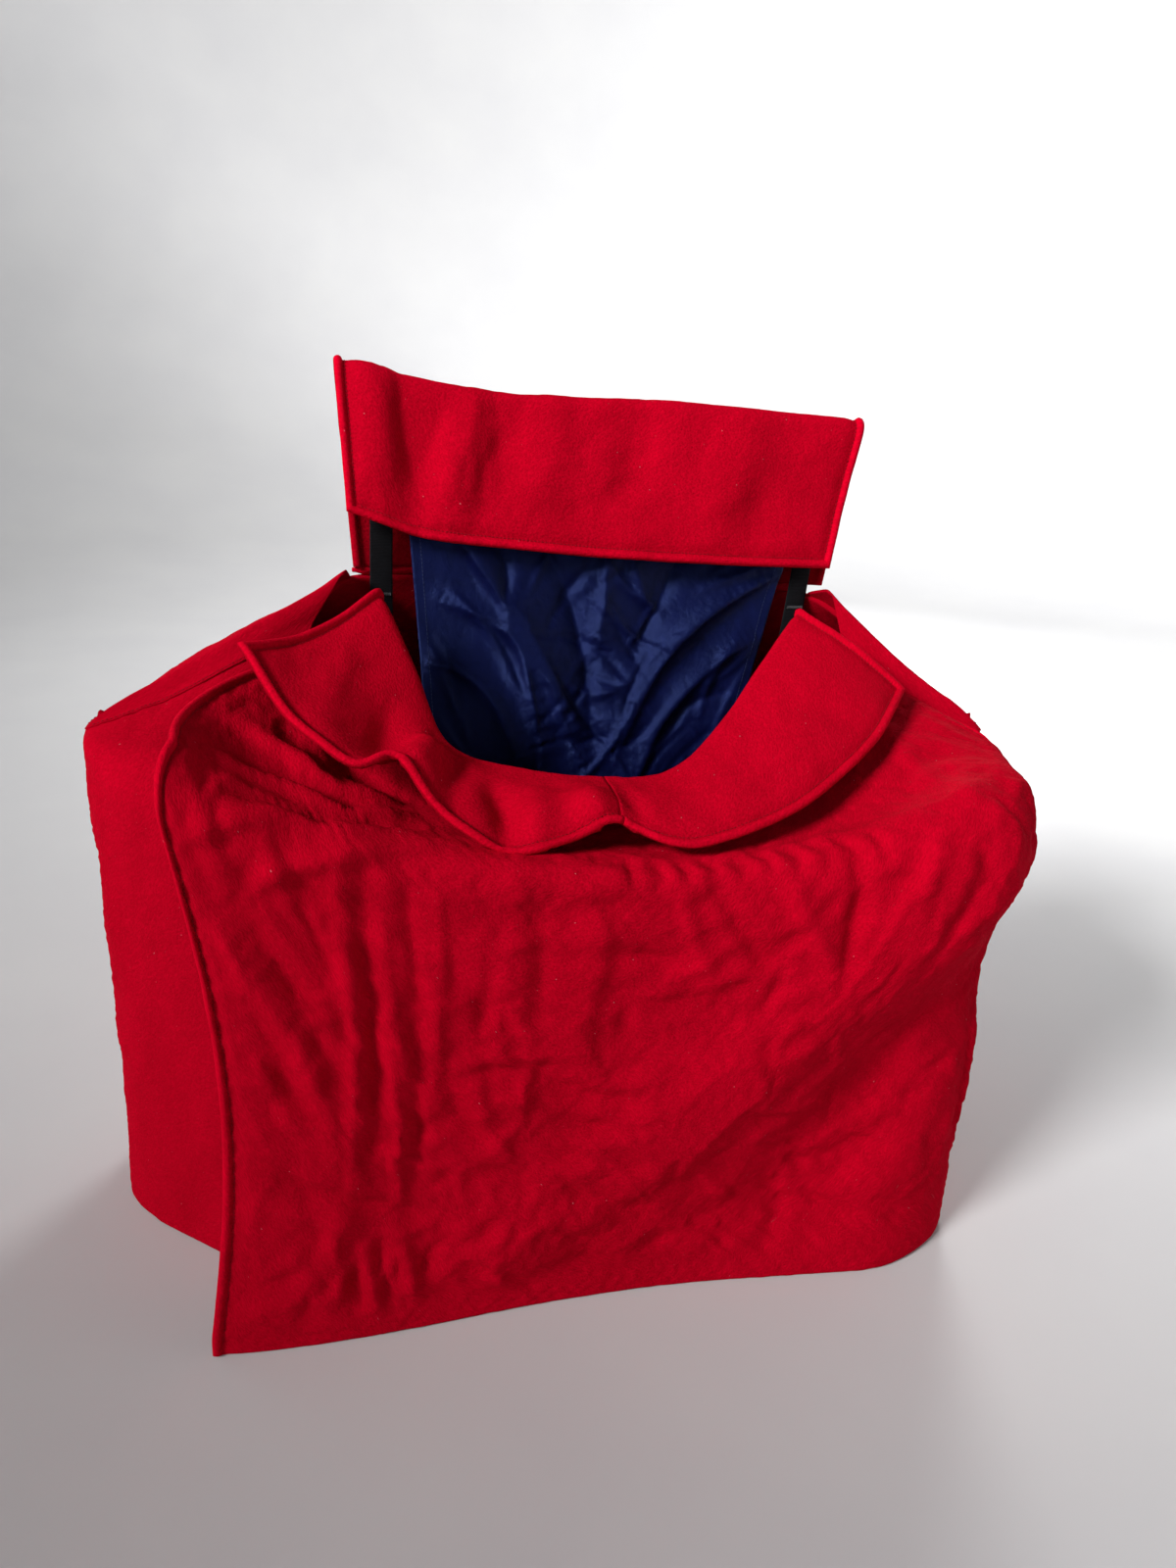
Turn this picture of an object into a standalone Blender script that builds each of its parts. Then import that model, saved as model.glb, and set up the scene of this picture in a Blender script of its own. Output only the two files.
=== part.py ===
"""A collared fleece blanket in two hanging panels, standing on its hem, with a hung nylon liner.

The back panel wraps round the sides and carries a deep collar whose fall hangs forward. The front panel lies
over the back panel's wings, lifts about the shoulder line, and carries a turned-down collar whose two ends fold
up.
Metres, +Z up, +X to the wearer's left, -Y to the front. The origin is under the middle, on the floor.
"""

import math

import bmesh
import bpy
from mathutils import Vector

# Overall sizes. The pattern below is drawn in centimetres for a blanket of the standard size, and scales with
# these.
OVERALL_WIDTH = 1.00
OVERALL_DEPTH = 0.47
OVERALL_HEIGHT = 0.94
STANDARD_SIZE_CM = (100.0, 47.0, 94.0)
PATTERN_MIDDLE_CM = (0.0, 0.475, 0.0)

# Cloth thicknesses.
FLEECE = 0.0025
WADDING = 0.0024
FACING = 0.0018
INTERLINING = 0.0012
NYLON = 0.0012
WEBBING = 0.0016
LAYER_GAP = 0.0005
SEAM_GAP = 0.0005
PIPING_GAP = 0.0012

# Trimmings.
PIPING_RADIUS = 0.0050
SHOULDER_PIPING_RADIUS = 0.0055
COLLAR_PIPING_RADIUS = 0.0045
PIPING_SIDES_LEVEL = 2
HEM_HEIGHT = 0.022
HEM_OVERHANG = 0.0010
TAPE_WIDTH = 0.025
BAR_TACK_SIZE = (0.020, 0.0012, 0.004)
NECK_TAPE_HEIGHT = 0.012
NECK_TAPE_CLEARANCE = 0.005

# Drape of the panels.
KNEE_RADIUS = 0.050
FOLD_CLEARANCE = 0.006
STAND_BELOW_FOLD = 0.022
COLLAR_STAND_BELOW_FOLD = 0.009
COLLAR_ARCH = 0.006
COLLAR_SPLIT_GAP = 0.004
KNEE_SHARE = 0.6

# How finely the long curves are cut.
SHOULDER_STEPS = 14
NECK_STEPS = 12
FALL_STEPS = 16
COLLAR_STAND_STEPS = 20
COLLAR_END_STEPS = 7
COLLAR_MIDDLE_STEPS = 14
LINER_STEPS = (6, 10)
TAPE_STEPS = 6

# Turning corner of the panels: (end at the neck or shoulder, middle of the shoulder slope, knee, hem, sideways
# bow).
FRONT_STATIONS_CM = [
    ((-21.6, 7.6, 65.6), (-36.2, -3.0, 64.0), (-41.4, -21.8, 62.4), (-39.4, -22.2), 2.8),
    ((-18.6, 1.2, 58.6), (-28.6, -10.0, 57.0), (-34.5, -22.2, 58.0), (-31.0, -22.4), 1.8),
    ((-15.8, -5.6, 52.6), (-21.5, -14.2, 53.4), (-26.0, -22.2, 54.6), (-22.0, -22.2), 0.8),
    ((-8.0, -9.2, 51.0), (-11.0, -15.6, 51.0), (-13.0, -21.6, 51.8), (-11.0, -21.4), 0.0),
    ((0.0, -10.2, 50.4), (0.0, -15.9, 50.2), (0.0, -21.2, 50.4), (0.0, -20.8), 0.0),
    ((8.0, -9.2, 50.7), (10.5, -15.6, 50.2), (12.0, -21.4, 50.4), (11.0, -21.0), 0.0),
    ((15.0, -4.2, 53.8), (20.5, -13.6, 51.6), (24.0, -22.0, 52.2), (22.0, -22.0), 0.0),
    ((21.6, 2.2, 58.6), (30.5, -9.6, 54.6), (36.0, -22.0, 55.2), (33.5, -22.4), 0.0),
    ((28.4, 8.0, 63.6), (37.0, -4.0, 57.6), (43.9, -17.8, 55.8), (42.4, -17.8), 0.0),
    ((38.0, 4.6, 60.8), (43.0, -2.2, 57.8), (47.4, -11.0, 55.6), (45.2, -10.8), 0.0),
    ((45.0, 0.8, 57.4), (46.8, -1.4, 56.8), (48.4, -4.0, 55.4), (46.2, -4.2), 0.0),
]
BACK_STATIONS_CM = [
    ((-27.8, 9.2, 66.6), (-31.4, 0.0, 57.0), (-33.0, -12.0, 52.0), (-33.5, -13.0), 0.0),
    ((-34.4, 5.8, 64.6), (-37.0, -1.0, 58.6), (-41.0, -9.8, 55.4), (-40.0, -7.0), 0.0),
    ((-41.4, 3.2, 61.0), (-44.0, -1.4, 58.4), (-47.2, -4.8, 56.4), (-46.8, -0.6), 0.0),
    ((-49.0, 2.0, 58.4), (-49.4, 1.8, 58.0), (-50.0, 1.6, 57.4), (-49.8, 5.6), 0.0),
    ((-42.5, 5.9, 61.0), (-44.4, 8.6, 59.8), (-47.0, 12.4, 57.6), (-47.2, 14.8), 0.0),
    ((-35.0, 8.4, 65.0), (-37.4, 12.0, 63.8), (-40.4, 17.0, 61.0), (-41.6, 20.0), 0.0),
    ((-27.7, 11.8, 68.6), (-29.0, 14.8, 67.6), (-31.4, 19.4, 64.0), (-33.4, 22.2), 0.0),
    ((-23.3, 15.4, 70.6), (-23.4, 16.6, 68.0), (-23.8, 20.0, 62.0), (-24.4, 23.1), 0.0),
    ((-12.0, 17.9, 70.4), (-12.0, 18.4, 67.0), (-12.0, 20.6, 60.0), (-12.0, 23.4), 0.0),
    ((4.0, 18.3, 70.0), (4.0, 18.8, 66.6), (4.0, 20.8, 59.6), (4.0, 23.5), 0.0),
    ((20.0, 17.9, 69.4), (20.0, 18.4, 66.0), (20.0, 20.6, 59.2), (20.0, 23.4), 0.0),
    ((30.6, 15.4, 69.4), (30.8, 16.6, 66.8), (31.2, 20.0, 61.0), (30.8, 23.0), 0.0),
    ((35.0, 12.0, 67.2), (36.2, 14.8, 66.0), (38.0, 18.8, 62.0), (38.6, 21.4), 0.0),
    ((40.6, 8.6, 62.2), (42.4, 11.4, 61.0), (45.0, 15.2, 58.4), (45.4, 17.6), 0.0),
    ((44.9, 6.4, 58.8), (46.2, 8.2, 58.0), (48.4, 10.6, 56.0), (48.4, 12.4), 0.0),
    ((49.0, 3.0, 56.4), (49.4, 2.9, 56.0), (50.0, 2.8, 55.4), (49.8, 5.6), 0.0),
    ((44.6, 3.8, 57.2), (45.6, 0.6, 54.0), (46.0, -1.4, 51.4), (46.0, 0.6), 0.0),
    ((39.4, 6.6, 60.0), (39.0, 0.0, 53.0), (40.4, -6.4, 49.0), (40.4, -5.0), 0.0),
    ((34.4, 9.6, 62.6), (32.8, 2.4, 53.4), (34.0, -11.0, 48.0), (33.5, -12.0), 0.0),
]
BACK_NECK_STATIONS = (7, 11)

# Lines of the shoulder seams, from the neck to the outer tip.
SHOULDER_LEFT_CM = [
    (-24.2, 11.5, 71.8), (-27.4, 10.5, 69.7), (-34.6, 7.1, 66.2), (-42.0, 4.6, 62.2), (-46.6, 2.9, 60.0),
]
SHOULDER_RIGHT_CM = [
    (32.4, 11.9, 70.4), (34.4, 10.7, 68.2), (40.0, 7.5, 63.2), (44.6, 5.2, 59.8), (46.6, 4.1, 58.6),
]

# Back collar: the fold along its top, and the free edge of its fall.
BACK_FOLD_CM = [
    (-25.0, 16.5, 93.4), (-13.8, 16.5, 91.6), (-5.2, 16.5, 90.8), (13.9, 16.5, 90.8), (36.0, 16.5, 90.0),
]
BACK_FALL_EDGE_CM = [
    (-24.0, 12.0, 78.0), (-15.8, 11.8, 75.4), (-8.0, 11.8, 74.6), (8.0, 11.8, 73.5), (32.4, 12.0, 72.8),
]
STAND_INSET = 0.013

# Points on the hinge lines: the shoulder line, level across, and the line nearest to the back collar's fold.
FRONT_LIFT_AXIS_CM = (4.1, 11.5, 70.5)
BACK_FALL_AXIS_CM = (5.5, 16.5, 91.1)

# Front collar: the fold round the neck, and the free edge of its fall. The ends are straight, so they can turn.
COLLAR_FOLD_CM = [
    (-20.5, 9.5, 70.0), (-17.55, 2.5, 63.4), (-14.6, -4.5, 56.8), (-7.5, -7.5, 55.3), (0.0, -8.5, 54.6),
    (7.5, -7.5, 55.0), (14.0, -3.0, 58.5), (20.6, 3.25, 63.5), (27.2, 9.5, 68.5),
]
COLLAR_EDGE_CM = [
    (-34.9, -4.1, 67.8), (-29.4, -10.3, 63.3), (-21.4, -14.4, 59.3), (-11.5, -16.9, 53.8), (0.0, -17.6, 53.0),
    (9.0, -17.2, 53.0), (20.0, -14.5, 55.2), (30.0, -8.2, 58.8), (37.6, 0.0, 61.4),
]
COLLAR_END_SPAN = 0.25

# Liner: its left and right edges from the header down to its free lower edge.
LINER_LEFT_CM = [
    (-18.0, 16.0, 86.0), (-17.4, 15.2, 78.0), (-16.4, 12.6, 66.0), (-15.8, 9.0, 55.0), (-15.4, 7.2, 45.0),
]
LINER_RIGHT_CM = [
    (29.4, 16.0, 85.0), (28.4, 15.2, 77.5), (24.8, 12.6, 66.0), (21.2, 9.0, 55.0), (20.4, 7.2, 45.0),
]
LINER_HEADER_HEIGHT = 0.020
TAPE_LEFT_CM = [(-20.2, 15.0, 81.0), (-20.2, 14.2, 66.0), (-19.8, 13.6, 52.0)]
TAPE_RIGHT_CM = [(30.2, 15.0, 80.0), (28.8, 14.0, 66.0), (27.4, 13.4, 52.0)]
BAR_TACK_DROP = 0.012
BAR_TACK_PITCH = 0.110

COLOURS = {
    "fleece": ((0.50, 0.006, 0.020), 0.95),
    "fleece_facing": ((0.36, 0.004, 0.016), 0.95),
    "piping": ((0.46, 0.006, 0.020), 0.90),
    "wadding": ((0.80, 0.79, 0.76), 1.00),
    "interlining": ((0.70, 0.69, 0.66), 0.95),
    "nylon": ((0.020, 0.035, 0.115), 0.45),
    "webbing": ((0.010, 0.010, 0.012), 0.70),
    "thread": ((0.30, 0.30, 0.32), 0.60),
}


def spot(point_cm):
    """A point of the pattern in metres, at the overall size."""
    sizes = (OVERALL_WIDTH, OVERALL_DEPTH, OVERALL_HEIGHT)
    return Vector(
        (value - middle) * size / standard
        for value, middle, size, standard in zip(point_cm, PATTERN_MIDDLE_CM, sizes, STANDARD_SIZE_CM)
    )


def line_of(points_cm):
    return [spot(point) for point in points_cm]


def along(points, t):
    """The point at t, from 0 to 1, on a smooth curve through evenly numbered points."""
    spans = len(points) - 1
    place = min(max(t, 0.0), 1.0) * spans
    k = min(int(place), spans - 1)
    s = place - k
    before = points[k - 1] if k > 0 else points[k] * 2 - points[k + 1]
    after = points[k + 2] if k + 2 <= spans else points[k + 1] * 2 - points[k]
    start, end = points[k], points[k + 1]
    return (
        start * 2
        + (end - before) * s
        + (before * 2 - start * 5 + end * 4 - after) * s**2
        + (start * 3 - before - end * 3 + after) * s**3
    ) / 2


def bezier(start, corner, end, t):
    return start * (1 - t) ** 2 + corner * 2 * t * (1 - t) + end * t**2


def through(start, middle, end, t):
    """The parabola that passes through three points at t = 0, 0.5 and 1."""
    return start * (1 - t) * (1 - 2 * t) + middle * 4 * t * (1 - t) + end * t * (2 * t - 1)


def material_of(name):
    material = bpy.data.materials.get(name)
    if material is None:
        colour, roughness = COLOURS[name]
        material = bpy.data.materials.new(name)
        material.use_nodes = True
        shader = material.node_tree.nodes["Principled BSDF"]
        shader.inputs["Base Color"].default_value = (*colour, 1.0)
        shader.inputs["Roughness"].default_value = roughness
        shader.inputs["Metallic"].default_value = 0.0
        material.diffuse_color = (*colour, 1.0)
    return material


def add_mesh(name, points, faces, cloth):
    mesh = bpy.data.meshes.new(name)
    mesh.from_pydata([tuple(point) for point in points], [], faces)
    solid = bmesh.new()
    solid.from_mesh(mesh)
    bmesh.ops.recalc_face_normals(solid, faces=solid.faces)
    solid.to_mesh(mesh)
    solid.free()
    mesh.materials.append(material_of(cloth))
    mesh.shade_smooth()
    mesh.set_sharp_from_angle(angle=math.radians(40))
    piece = bpy.data.objects.new(name, mesh)
    bpy.context.collection.objects.link(piece)
    return piece


def hang_from(piece, joint):
    """Parents a moving piece to its joint's empty, without moving it."""
    piece.parent = joint
    piece.matrix_parent_inverse = joint.matrix_world.inverted()


def normals_of(grid, flat_rows=(), facing=1):
    """The unit normal at each point of a grid, reversed where facing is -1.

    On a flat row it is level, so that every layer ends at one height.
    """
    columns, rows = len(grid), len(grid[0])
    normals = []
    for i in range(columns):
        column = []
        for j in range(rows):
            across = grid[min(i + 1, columns - 1)][j] - grid[max(i - 1, 0)][j]
            down = grid[i][min(j + 1, rows - 1)] - grid[i][max(j - 1, 0)]
            normal = down.cross(across) * facing
            if j in flat_rows:
                normal.z = 0.0
            column.append(normal.normalized())
        normals.append(column)
    return normals


def layer(name, grid, normals, top, bottom, cloth, joint=None):
    """One closed layer of cloth between two depths under a grid's outer face."""
    columns, rows = len(grid), len(grid[0])
    points = []
    for depth in (top, bottom):
        points += [grid[i][j] - normals[i][j] * depth for i in range(columns) for j in range(rows)]
    under = columns * rows

    def at(i, j):
        return i * rows + j

    faces = []
    for i in range(columns - 1):
        for j in range(rows - 1):
            a, b, c, d = at(i, j), at(i, j + 1), at(i + 1, j + 1), at(i + 1, j)
            faces += [(a, b, c), (a, c, d)]
            faces += [(under + c, under + b, under + a), (under + d, under + c, under + a)]
    rim = [at(i, 0) for i in range(columns)]
    rim += [at(columns - 1, j) for j in range(1, rows)]
    rim += [at(i, rows - 1) for i in range(columns - 2, -1, -1)]
    rim += [at(0, j) for j in range(rows - 2, 0, -1)]
    for here, following in zip(rim, rim[1:] + rim[:1]):
        faces.append((here, following, under + following))
        faces.append((here, under + following, under + here))
    piece = add_mesh(name, points, faces, cloth)
    if joint:
        hang_from(piece, joint)
    return piece


def layers(grid, normals, stack, joint=None):
    """Layers of cloth under one outer face, each (name, thickness, cloth). Returns the whole thickness."""
    depth = 0.0
    for name, thickness, cloth in stack:
        layer(name, grid, normals, depth, depth + thickness, cloth, joint)
        depth += thickness + LAYER_GAP
    return depth - LAYER_GAP


def tube(name, path, radius, cloth, joint=None):
    """A cord of piping along a path, with closed ends."""
    curve = bpy.data.curves.new(name, "CURVE")
    curve.dimensions = "3D"
    curve.bevel_depth = radius
    curve.bevel_resolution = PIPING_SIDES_LEVEL
    curve.use_fill_caps = True
    spline = curve.splines.new("POLY")
    spline.points.add(len(path) - 1)
    for point, place in zip(spline.points, path):
        point.co = (*place, 1.0)
    curve.materials.append(material_of(cloth))
    piece = bpy.data.objects.new(name, curve)
    bpy.context.collection.objects.link(piece)
    if joint:
        hang_from(piece, joint)
    return piece


def beside(grid, normals, cells, neighbours, radius, thickness):
    """A path just outside an edge of a grid, at mid thickness, from its cells and their neighbours inside it."""
    path, inward = [], []
    for (i, j), (k, m) in zip(cells, neighbours):
        path.append(grid[i][j] - normals[i][j] * thickness / 2)
        inward.append(grid[k][m] - grid[i][j])
    moved = []
    for k, place in enumerate(path):
        onward = (path[min(k + 1, len(path) - 1)] - path[max(k - 1, 0)]).normalized()
        turn = 0.0
        if 0 < k < len(path) - 1:
            turn = (place - path[k - 1]).angle(path[k + 1] - place)
        outward = onward * inward[k].dot(onward) - inward[k]
        moved.append(place + outward.normalized() * (radius + PIPING_GAP) / math.cos(turn / 2))
    return moved


def hem_band(name, grid, normals, thickness, end_reach, joint=None):
    """The bound hem under a panel's lowest row: level, flat underneath, and ending under the piping."""
    path = [column[-1] for column in grid]
    level = [column[-1] for column in normals]
    ends = [(path[0], path[0] - path[1], level[0]), (path[-1], path[-1] - path[-2], level[-1])]
    first, last = [
        (point + Vector((run.x, run.y, 0)).normalized() * end_reach, side) for point, run, side in ends
    ]
    stations = [first, *zip(path, level), last]
    points, faces = [], []
    for point, side in stations:
        for depth, height in (
            (-HEM_OVERHANG, HEM_HEIGHT), (-HEM_OVERHANG, 0.0),
            (thickness + HEM_OVERHANG, 0.0), (thickness + HEM_OVERHANG, HEM_HEIGHT),
        ):
            place = point - side * depth
            points.append(Vector((place.x, place.y, height)))
    for k in range(len(stations) - 1):
        for a in range(4):
            b = (a + 1) % 4
            p, q, r, s = 4 * k + a, 4 * k + b, 4 * k + 4 + b, 4 * k + 4 + a
            faces += [(p, q, r), (p, r, s)]
    last_ring = 4 * (len(stations) - 1)
    faces += [(3, 2, 1, 0), tuple(last_ring + a for a in range(4))]
    piece = add_mesh(name, points, faces, "piping")
    if joint:
        hang_from(piece, joint)
    return piece


def draped_grid(stations_cm, columns, slope_rows, knee_rows, fall_rows):
    """A panel's outer face, column by column: down the slope, over a rounded knee, and down to the hem."""
    tops = [spot(station[0]) for station in stations_cm]
    middles = [spot(station[1]) for station in stations_cm]
    knees = [spot(station[2]) for station in stations_cm]
    hems = [spot((*station[3], 0.0)) for station in stations_cm]
    bows = [Vector((station[4] / 100, 0, 0)) for station in stations_cm]
    grid = []
    for i in range(columns + 1):
        u = i / columns
        top, middle, knee = along(tops, u), along(middles, u), along(knees, u)
        hem, bow = along(hems, u), along(bows, u)
        hem.z = HEM_HEIGHT + SEAM_GAP
        radius = min(KNEE_RADIUS, (middle - knee).length * KNEE_SHARE)
        above = knee + (middle - knee).normalized() * radius
        below = knee + (hem - knee).normalized() * radius
        column = [through(top, middle, above, k / slope_rows) for k in range(slope_rows)]
        column += [bezier(above, knee, below, k / knee_rows) for k in range(knee_rows)]
        for k in range(fall_rows + 1):
            s = k / fall_rows
            column.append(below.lerp(hem, s) + bow * math.sin(math.pi * s))
        grid.append(column)
    return grid


def edge_of_column(grid, i):
    """Cells down one side of a grid, and the cells next to them inside."""
    rows, inside = len(grid[0]), 1 if i == 0 else i - 1
    return [(i, j) for j in range(rows)], [(inside, j) for j in range(rows)]


def joint_empty(name, place):
    joint = bpy.data.objects.new(name, None)
    joint.location = place
    joint.empty_display_size = 0.05
    bpy.context.collection.objects.link(joint)
    bpy.context.view_layer.update()
    return joint


def back_panel():
    grid = draped_grid(BACK_STATIONS_CM, columns=36, slope_rows=3, knee_rows=2, fall_rows=3)
    normals = normals_of(grid, flat_rows=(len(grid[0]) - 1,), facing=-1)
    stack = [
        ("back_shell", FLEECE, "fleece"),
        ("back_wadding", WADDING, "wadding"),
        ("back_facing", FACING, "fleece_facing"),
    ]
    thickness = layers(grid, normals, stack)
    reach = 2 * PIPING_RADIUS + SEAM_GAP
    hem_band("back_hem_binding", grid, normals, thickness, reach)
    for side, i in (("left", 0), ("right", len(grid) - 1)):
        cells, inner = edge_of_column(grid, i)
        path = beside(grid, normals, cells, inner, PIPING_RADIUS, thickness)
        tube(f"back_wing_piping_{side}", path, PIPING_RADIUS, "piping")
    for side, line in (("left", SHOULDER_LEFT_CM), ("right", SHOULDER_RIGHT_CM)):
        points = line_of(line)
        path = [along(points, k / SHOULDER_STEPS) for k in range(SHOULDER_STEPS + 1)]
        tube(f"shoulder_piping_{side}", path, SHOULDER_PIPING_RADIUS, "piping")


def strip_grid(upper, lower, columns, rows, upper_drop=0.0, lower_lift=0.0):
    """A ruled strip between two curves of points, with its long edges moved in by a drop and a lift."""
    grid = []
    for i in range(columns + 1):
        top, bottom = along(upper, i / columns), along(lower, i / columns)
        run = (bottom - top).normalized()
        top, bottom = top + run * upper_drop, bottom - run * lower_lift
        grid.append([top.lerp(bottom, j / rows) for j in range(rows + 1)])
    return grid


def back_collar(fall_joint):
    """The stand that rises behind the neck, and the fall that hangs forward from the fold along its top."""
    first, last = BACK_NECK_STATIONS
    neck = [spot(station[0]) for station in BACK_STATIONS_CM[first:last + 1]]
    fold = line_of(BACK_FOLD_CM)
    stand_top = [point + Vector((0, STAND_INSET, 0)) for point in fold]
    above_tape = NECK_TAPE_HEIGHT + NECK_TAPE_CLEARANCE
    stand = strip_grid(stand_top, neck, NECK_STEPS, 4, STAND_BELOW_FOLD, above_tape)
    outward = normals_of(stand, facing=-1)
    layer("back_collar_stand", stand, outward, 0.0, FLEECE, "fleece")
    layer("back_collar_interlining", stand, outward, FLEECE + LAYER_GAP, FLEECE + LAYER_GAP + INTERLINING,
          "interlining")
    inside = FLEECE + INTERLINING + 2 * LAYER_GAP
    layer("back_collar_facing", stand, outward, inside, inside + FACING, "fleece_facing")
    tape = [[point + Vector((0, 0, SEAM_GAP * 3 + height)) for height in (NECK_TAPE_HEIGHT, 0.0)] for point in
            [along(neck, i / NECK_STEPS) for i in range(NECK_STEPS + 1)]]
    layer("neck_tape", tape, normals_of(tape, facing=-1), 0.0, inside + FACING, "webbing")
    for side, i in (("left", 0), ("right", len(stand) - 1)):
        cells, inner = edge_of_column(stand, i)
        path = beside(stand, outward, cells, inner, COLLAR_PIPING_RADIUS, inside + FACING)
        tube(f"back_collar_piping_{side}", path, COLLAR_PIPING_RADIUS, "piping")

    edge = line_of(BACK_FALL_EDGE_CM)
    hanging_top = [point + Vector((0, -FOLD_CLEARANCE - FLEECE, 0)) for point in fold]
    fall = strip_grid(hanging_top, edge, FALL_STEPS, 4)
    normals = normals_of(fall)
    stack = [
        ("back_fall_shell", FLEECE, "fleece"),
        ("back_fall_interlining", INTERLINING, "interlining"),
        ("back_fall_facing", FACING, "fleece_facing"),
    ]
    thickness = layers(fall, normals, stack, fall_joint)
    rows, columns = len(fall[0]), len(fall)
    cells = [(0, j) for j in range(rows - 1)]
    inner = [(1, j) for j in range(rows - 1)]
    cells += [(i, rows - 1) for i in range(columns)]
    inner += [(1, rows - 2)] + [(i, rows - 2) for i in range(1, columns - 1)] + [(columns - 2, rows - 2)]
    cells += [(columns - 1, j) for j in range(rows - 2, -1, -1)]
    inner += [(columns - 2, j) for j in range(rows - 2, -1, -1)]
    path = beside(fall, normals, cells, inner, COLLAR_PIPING_RADIUS, thickness)
    tube("back_fall_piping", path, COLLAR_PIPING_RADIUS, "piping", fall_joint)


def front_panel(front_joint):
    grid = draped_grid(FRONT_STATIONS_CM, columns=20, slope_rows=3, knee_rows=3, fall_rows=4)
    normals = normals_of(grid, flat_rows=(len(grid[0]) - 1,))
    stack = [
        ("front_shell", FLEECE, "fleece"),
        ("front_wadding", WADDING, "wadding"),
        ("front_facing", FACING, "fleece_facing"),
    ]
    thickness = layers(grid, normals, stack, front_joint)
    hem_band("front_hem_binding", grid, normals, thickness, 2 * PIPING_RADIUS + SEAM_GAP, front_joint)
    for side, i in (("left", 0), ("right", len(grid) - 1)):
        cells, inner = edge_of_column(grid, i)
        path = beside(grid, normals, cells, inner, PIPING_RADIUS, thickness)
        tube(f"front_piping_{side}", path, PIPING_RADIUS, "piping", front_joint)


def collar_grid(start, end, columns, rows):
    """The front collar's fall between two shares of its length, arched a little from its fold to its edge."""
    fold, edge = line_of(COLLAR_FOLD_CM), line_of(COLLAR_EDGE_CM)
    grid = []
    for i in range(columns + 1):
        t = start + (end - start) * i / columns
        inner, outer = along(fold, t), along(edge, t)
        inner = inner + (outer - inner).normalized() * FOLD_CLEARANCE
        lift = Vector((0, 0, COLLAR_ARCH))
        shares = [j / rows for j in range(rows + 1)]
        grid.append([inner.lerp(outer, s) + lift * math.sin(math.pi * s) for s in shares])
    return grid


def collar_piece(name, start, end, columns, ends, joint):
    """One turn-down length of the front collar: two layers, and piping along its free edges."""
    rows = 3
    grid = collar_grid(start, end, columns, rows)
    normals = [[-normal if normal.z < 0 else normal for normal in column] for column in normals_of(grid)]
    stack = [(f"{name}_shell", FLEECE, "fleece"), (f"{name}_facing", FACING, "fleece_facing")]
    thickness = layers(grid, normals, stack, joint)
    last = len(grid) - 1
    cells = [(i, rows) for i in range(len(grid))]
    inner = [(i, rows - 1) for i in range(len(grid))]
    if ends == "left":
        cells = [(0, j) for j in range(rows)] + cells
        inner = [(1, j) for j in range(rows)] + [(1, rows - 1)] + inner[1:]
    if ends == "right":
        cells += [(last, j) for j in range(rows - 1, -1, -1)]
        inner = inner[:-1] + [(last - 1, rows - 1)] + [(last - 1, j) for j in range(rows - 1, -1, -1)]
    path = beside(grid, normals, cells, inner, COLLAR_PIPING_RADIUS, thickness)
    tube(f"{name}_piping", path, COLLAR_PIPING_RADIUS, "piping", joint)


def front_collar(front_joint, left_joint, right_joint):
    """The stand round the front of the neck, the middle of the fall, and the two ends that fold up."""
    fold = line_of(COLLAR_FOLD_CM)
    seam = [spot(station[0]) for station in FRONT_STATIONS_CM[:9]]
    stand = strip_grid(fold, seam, COLLAR_STAND_STEPS, 2, COLLAR_STAND_BELOW_FOLD, COLLAR_STAND_BELOW_FOLD)
    normals = normals_of(stand)
    stack = [("front_collar_stand", FLEECE, "fleece"), ("front_collar_stand_facing", FACING, "fleece_facing")]
    layers(stand, normals, stack, front_joint)
    length = sum((b - a).length for a, b in zip(fold, fold[1:]))
    gap = COLLAR_SPLIT_GAP / length
    near, far = COLLAR_END_SPAN, 1 - COLLAR_END_SPAN
    collar_piece("collar_left", 0.0, near - gap, COLLAR_END_STEPS, "left", left_joint)
    collar_piece("collar_middle", near + gap, far - gap, COLLAR_MIDDLE_STEPS, "none", front_joint)
    collar_piece("collar_right", far + gap, 1.0, COLLAR_END_STEPS, "right", right_joint)


def liner():
    left, right = line_of(LINER_LEFT_CM), line_of(LINER_RIGHT_CM)
    columns, rows = LINER_STEPS
    grid = [[along(left, j / rows).lerp(along(right, j / rows), i / columns) for j in range(rows + 1)]
            for i in range(columns + 1)]
    normals = normals_of(grid)
    layer("liner_panel", grid, normals, 0.0, NYLON, "nylon")
    header = [[column[0] + Vector((0, 0, SEAM_GAP + height)) for height in (LINER_HEADER_HEIGHT, 0.0)]
              for column in grid]
    header_out = normals_of(header)
    layer("liner_header_tape", header, header_out, -WEBBING / 2, NYLON + WEBBING / 2, "webbing")
    hem = [[column[-1] - Vector((0, 0, SEAM_GAP + height)) for height in (0.0, LINER_HEADER_HEIGHT / 2)]
           for column in grid]
    layer("liner_hem_tape", hem, normals_of(hem), -NYLON / 2, NYLON * 3 / 2, "nylon")


def bar_tack(name, place):
    """A short dense block of stitches across a tape's face."""
    corners = [place + Vector((x * BAR_TACK_SIZE[0], y * BAR_TACK_SIZE[1], z * BAR_TACK_SIZE[2]))
               for x in (-0.5, 0.5) for y in (-0.5, 0.5) for z in (-0.5, 0.5)]
    faces = [(0, 1, 3, 2), (4, 6, 7, 5), (0, 4, 5, 1), (2, 3, 7, 6), (0, 2, 6, 4), (1, 5, 7, 3)]
    add_mesh(name, corners, faces, "thread")


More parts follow.
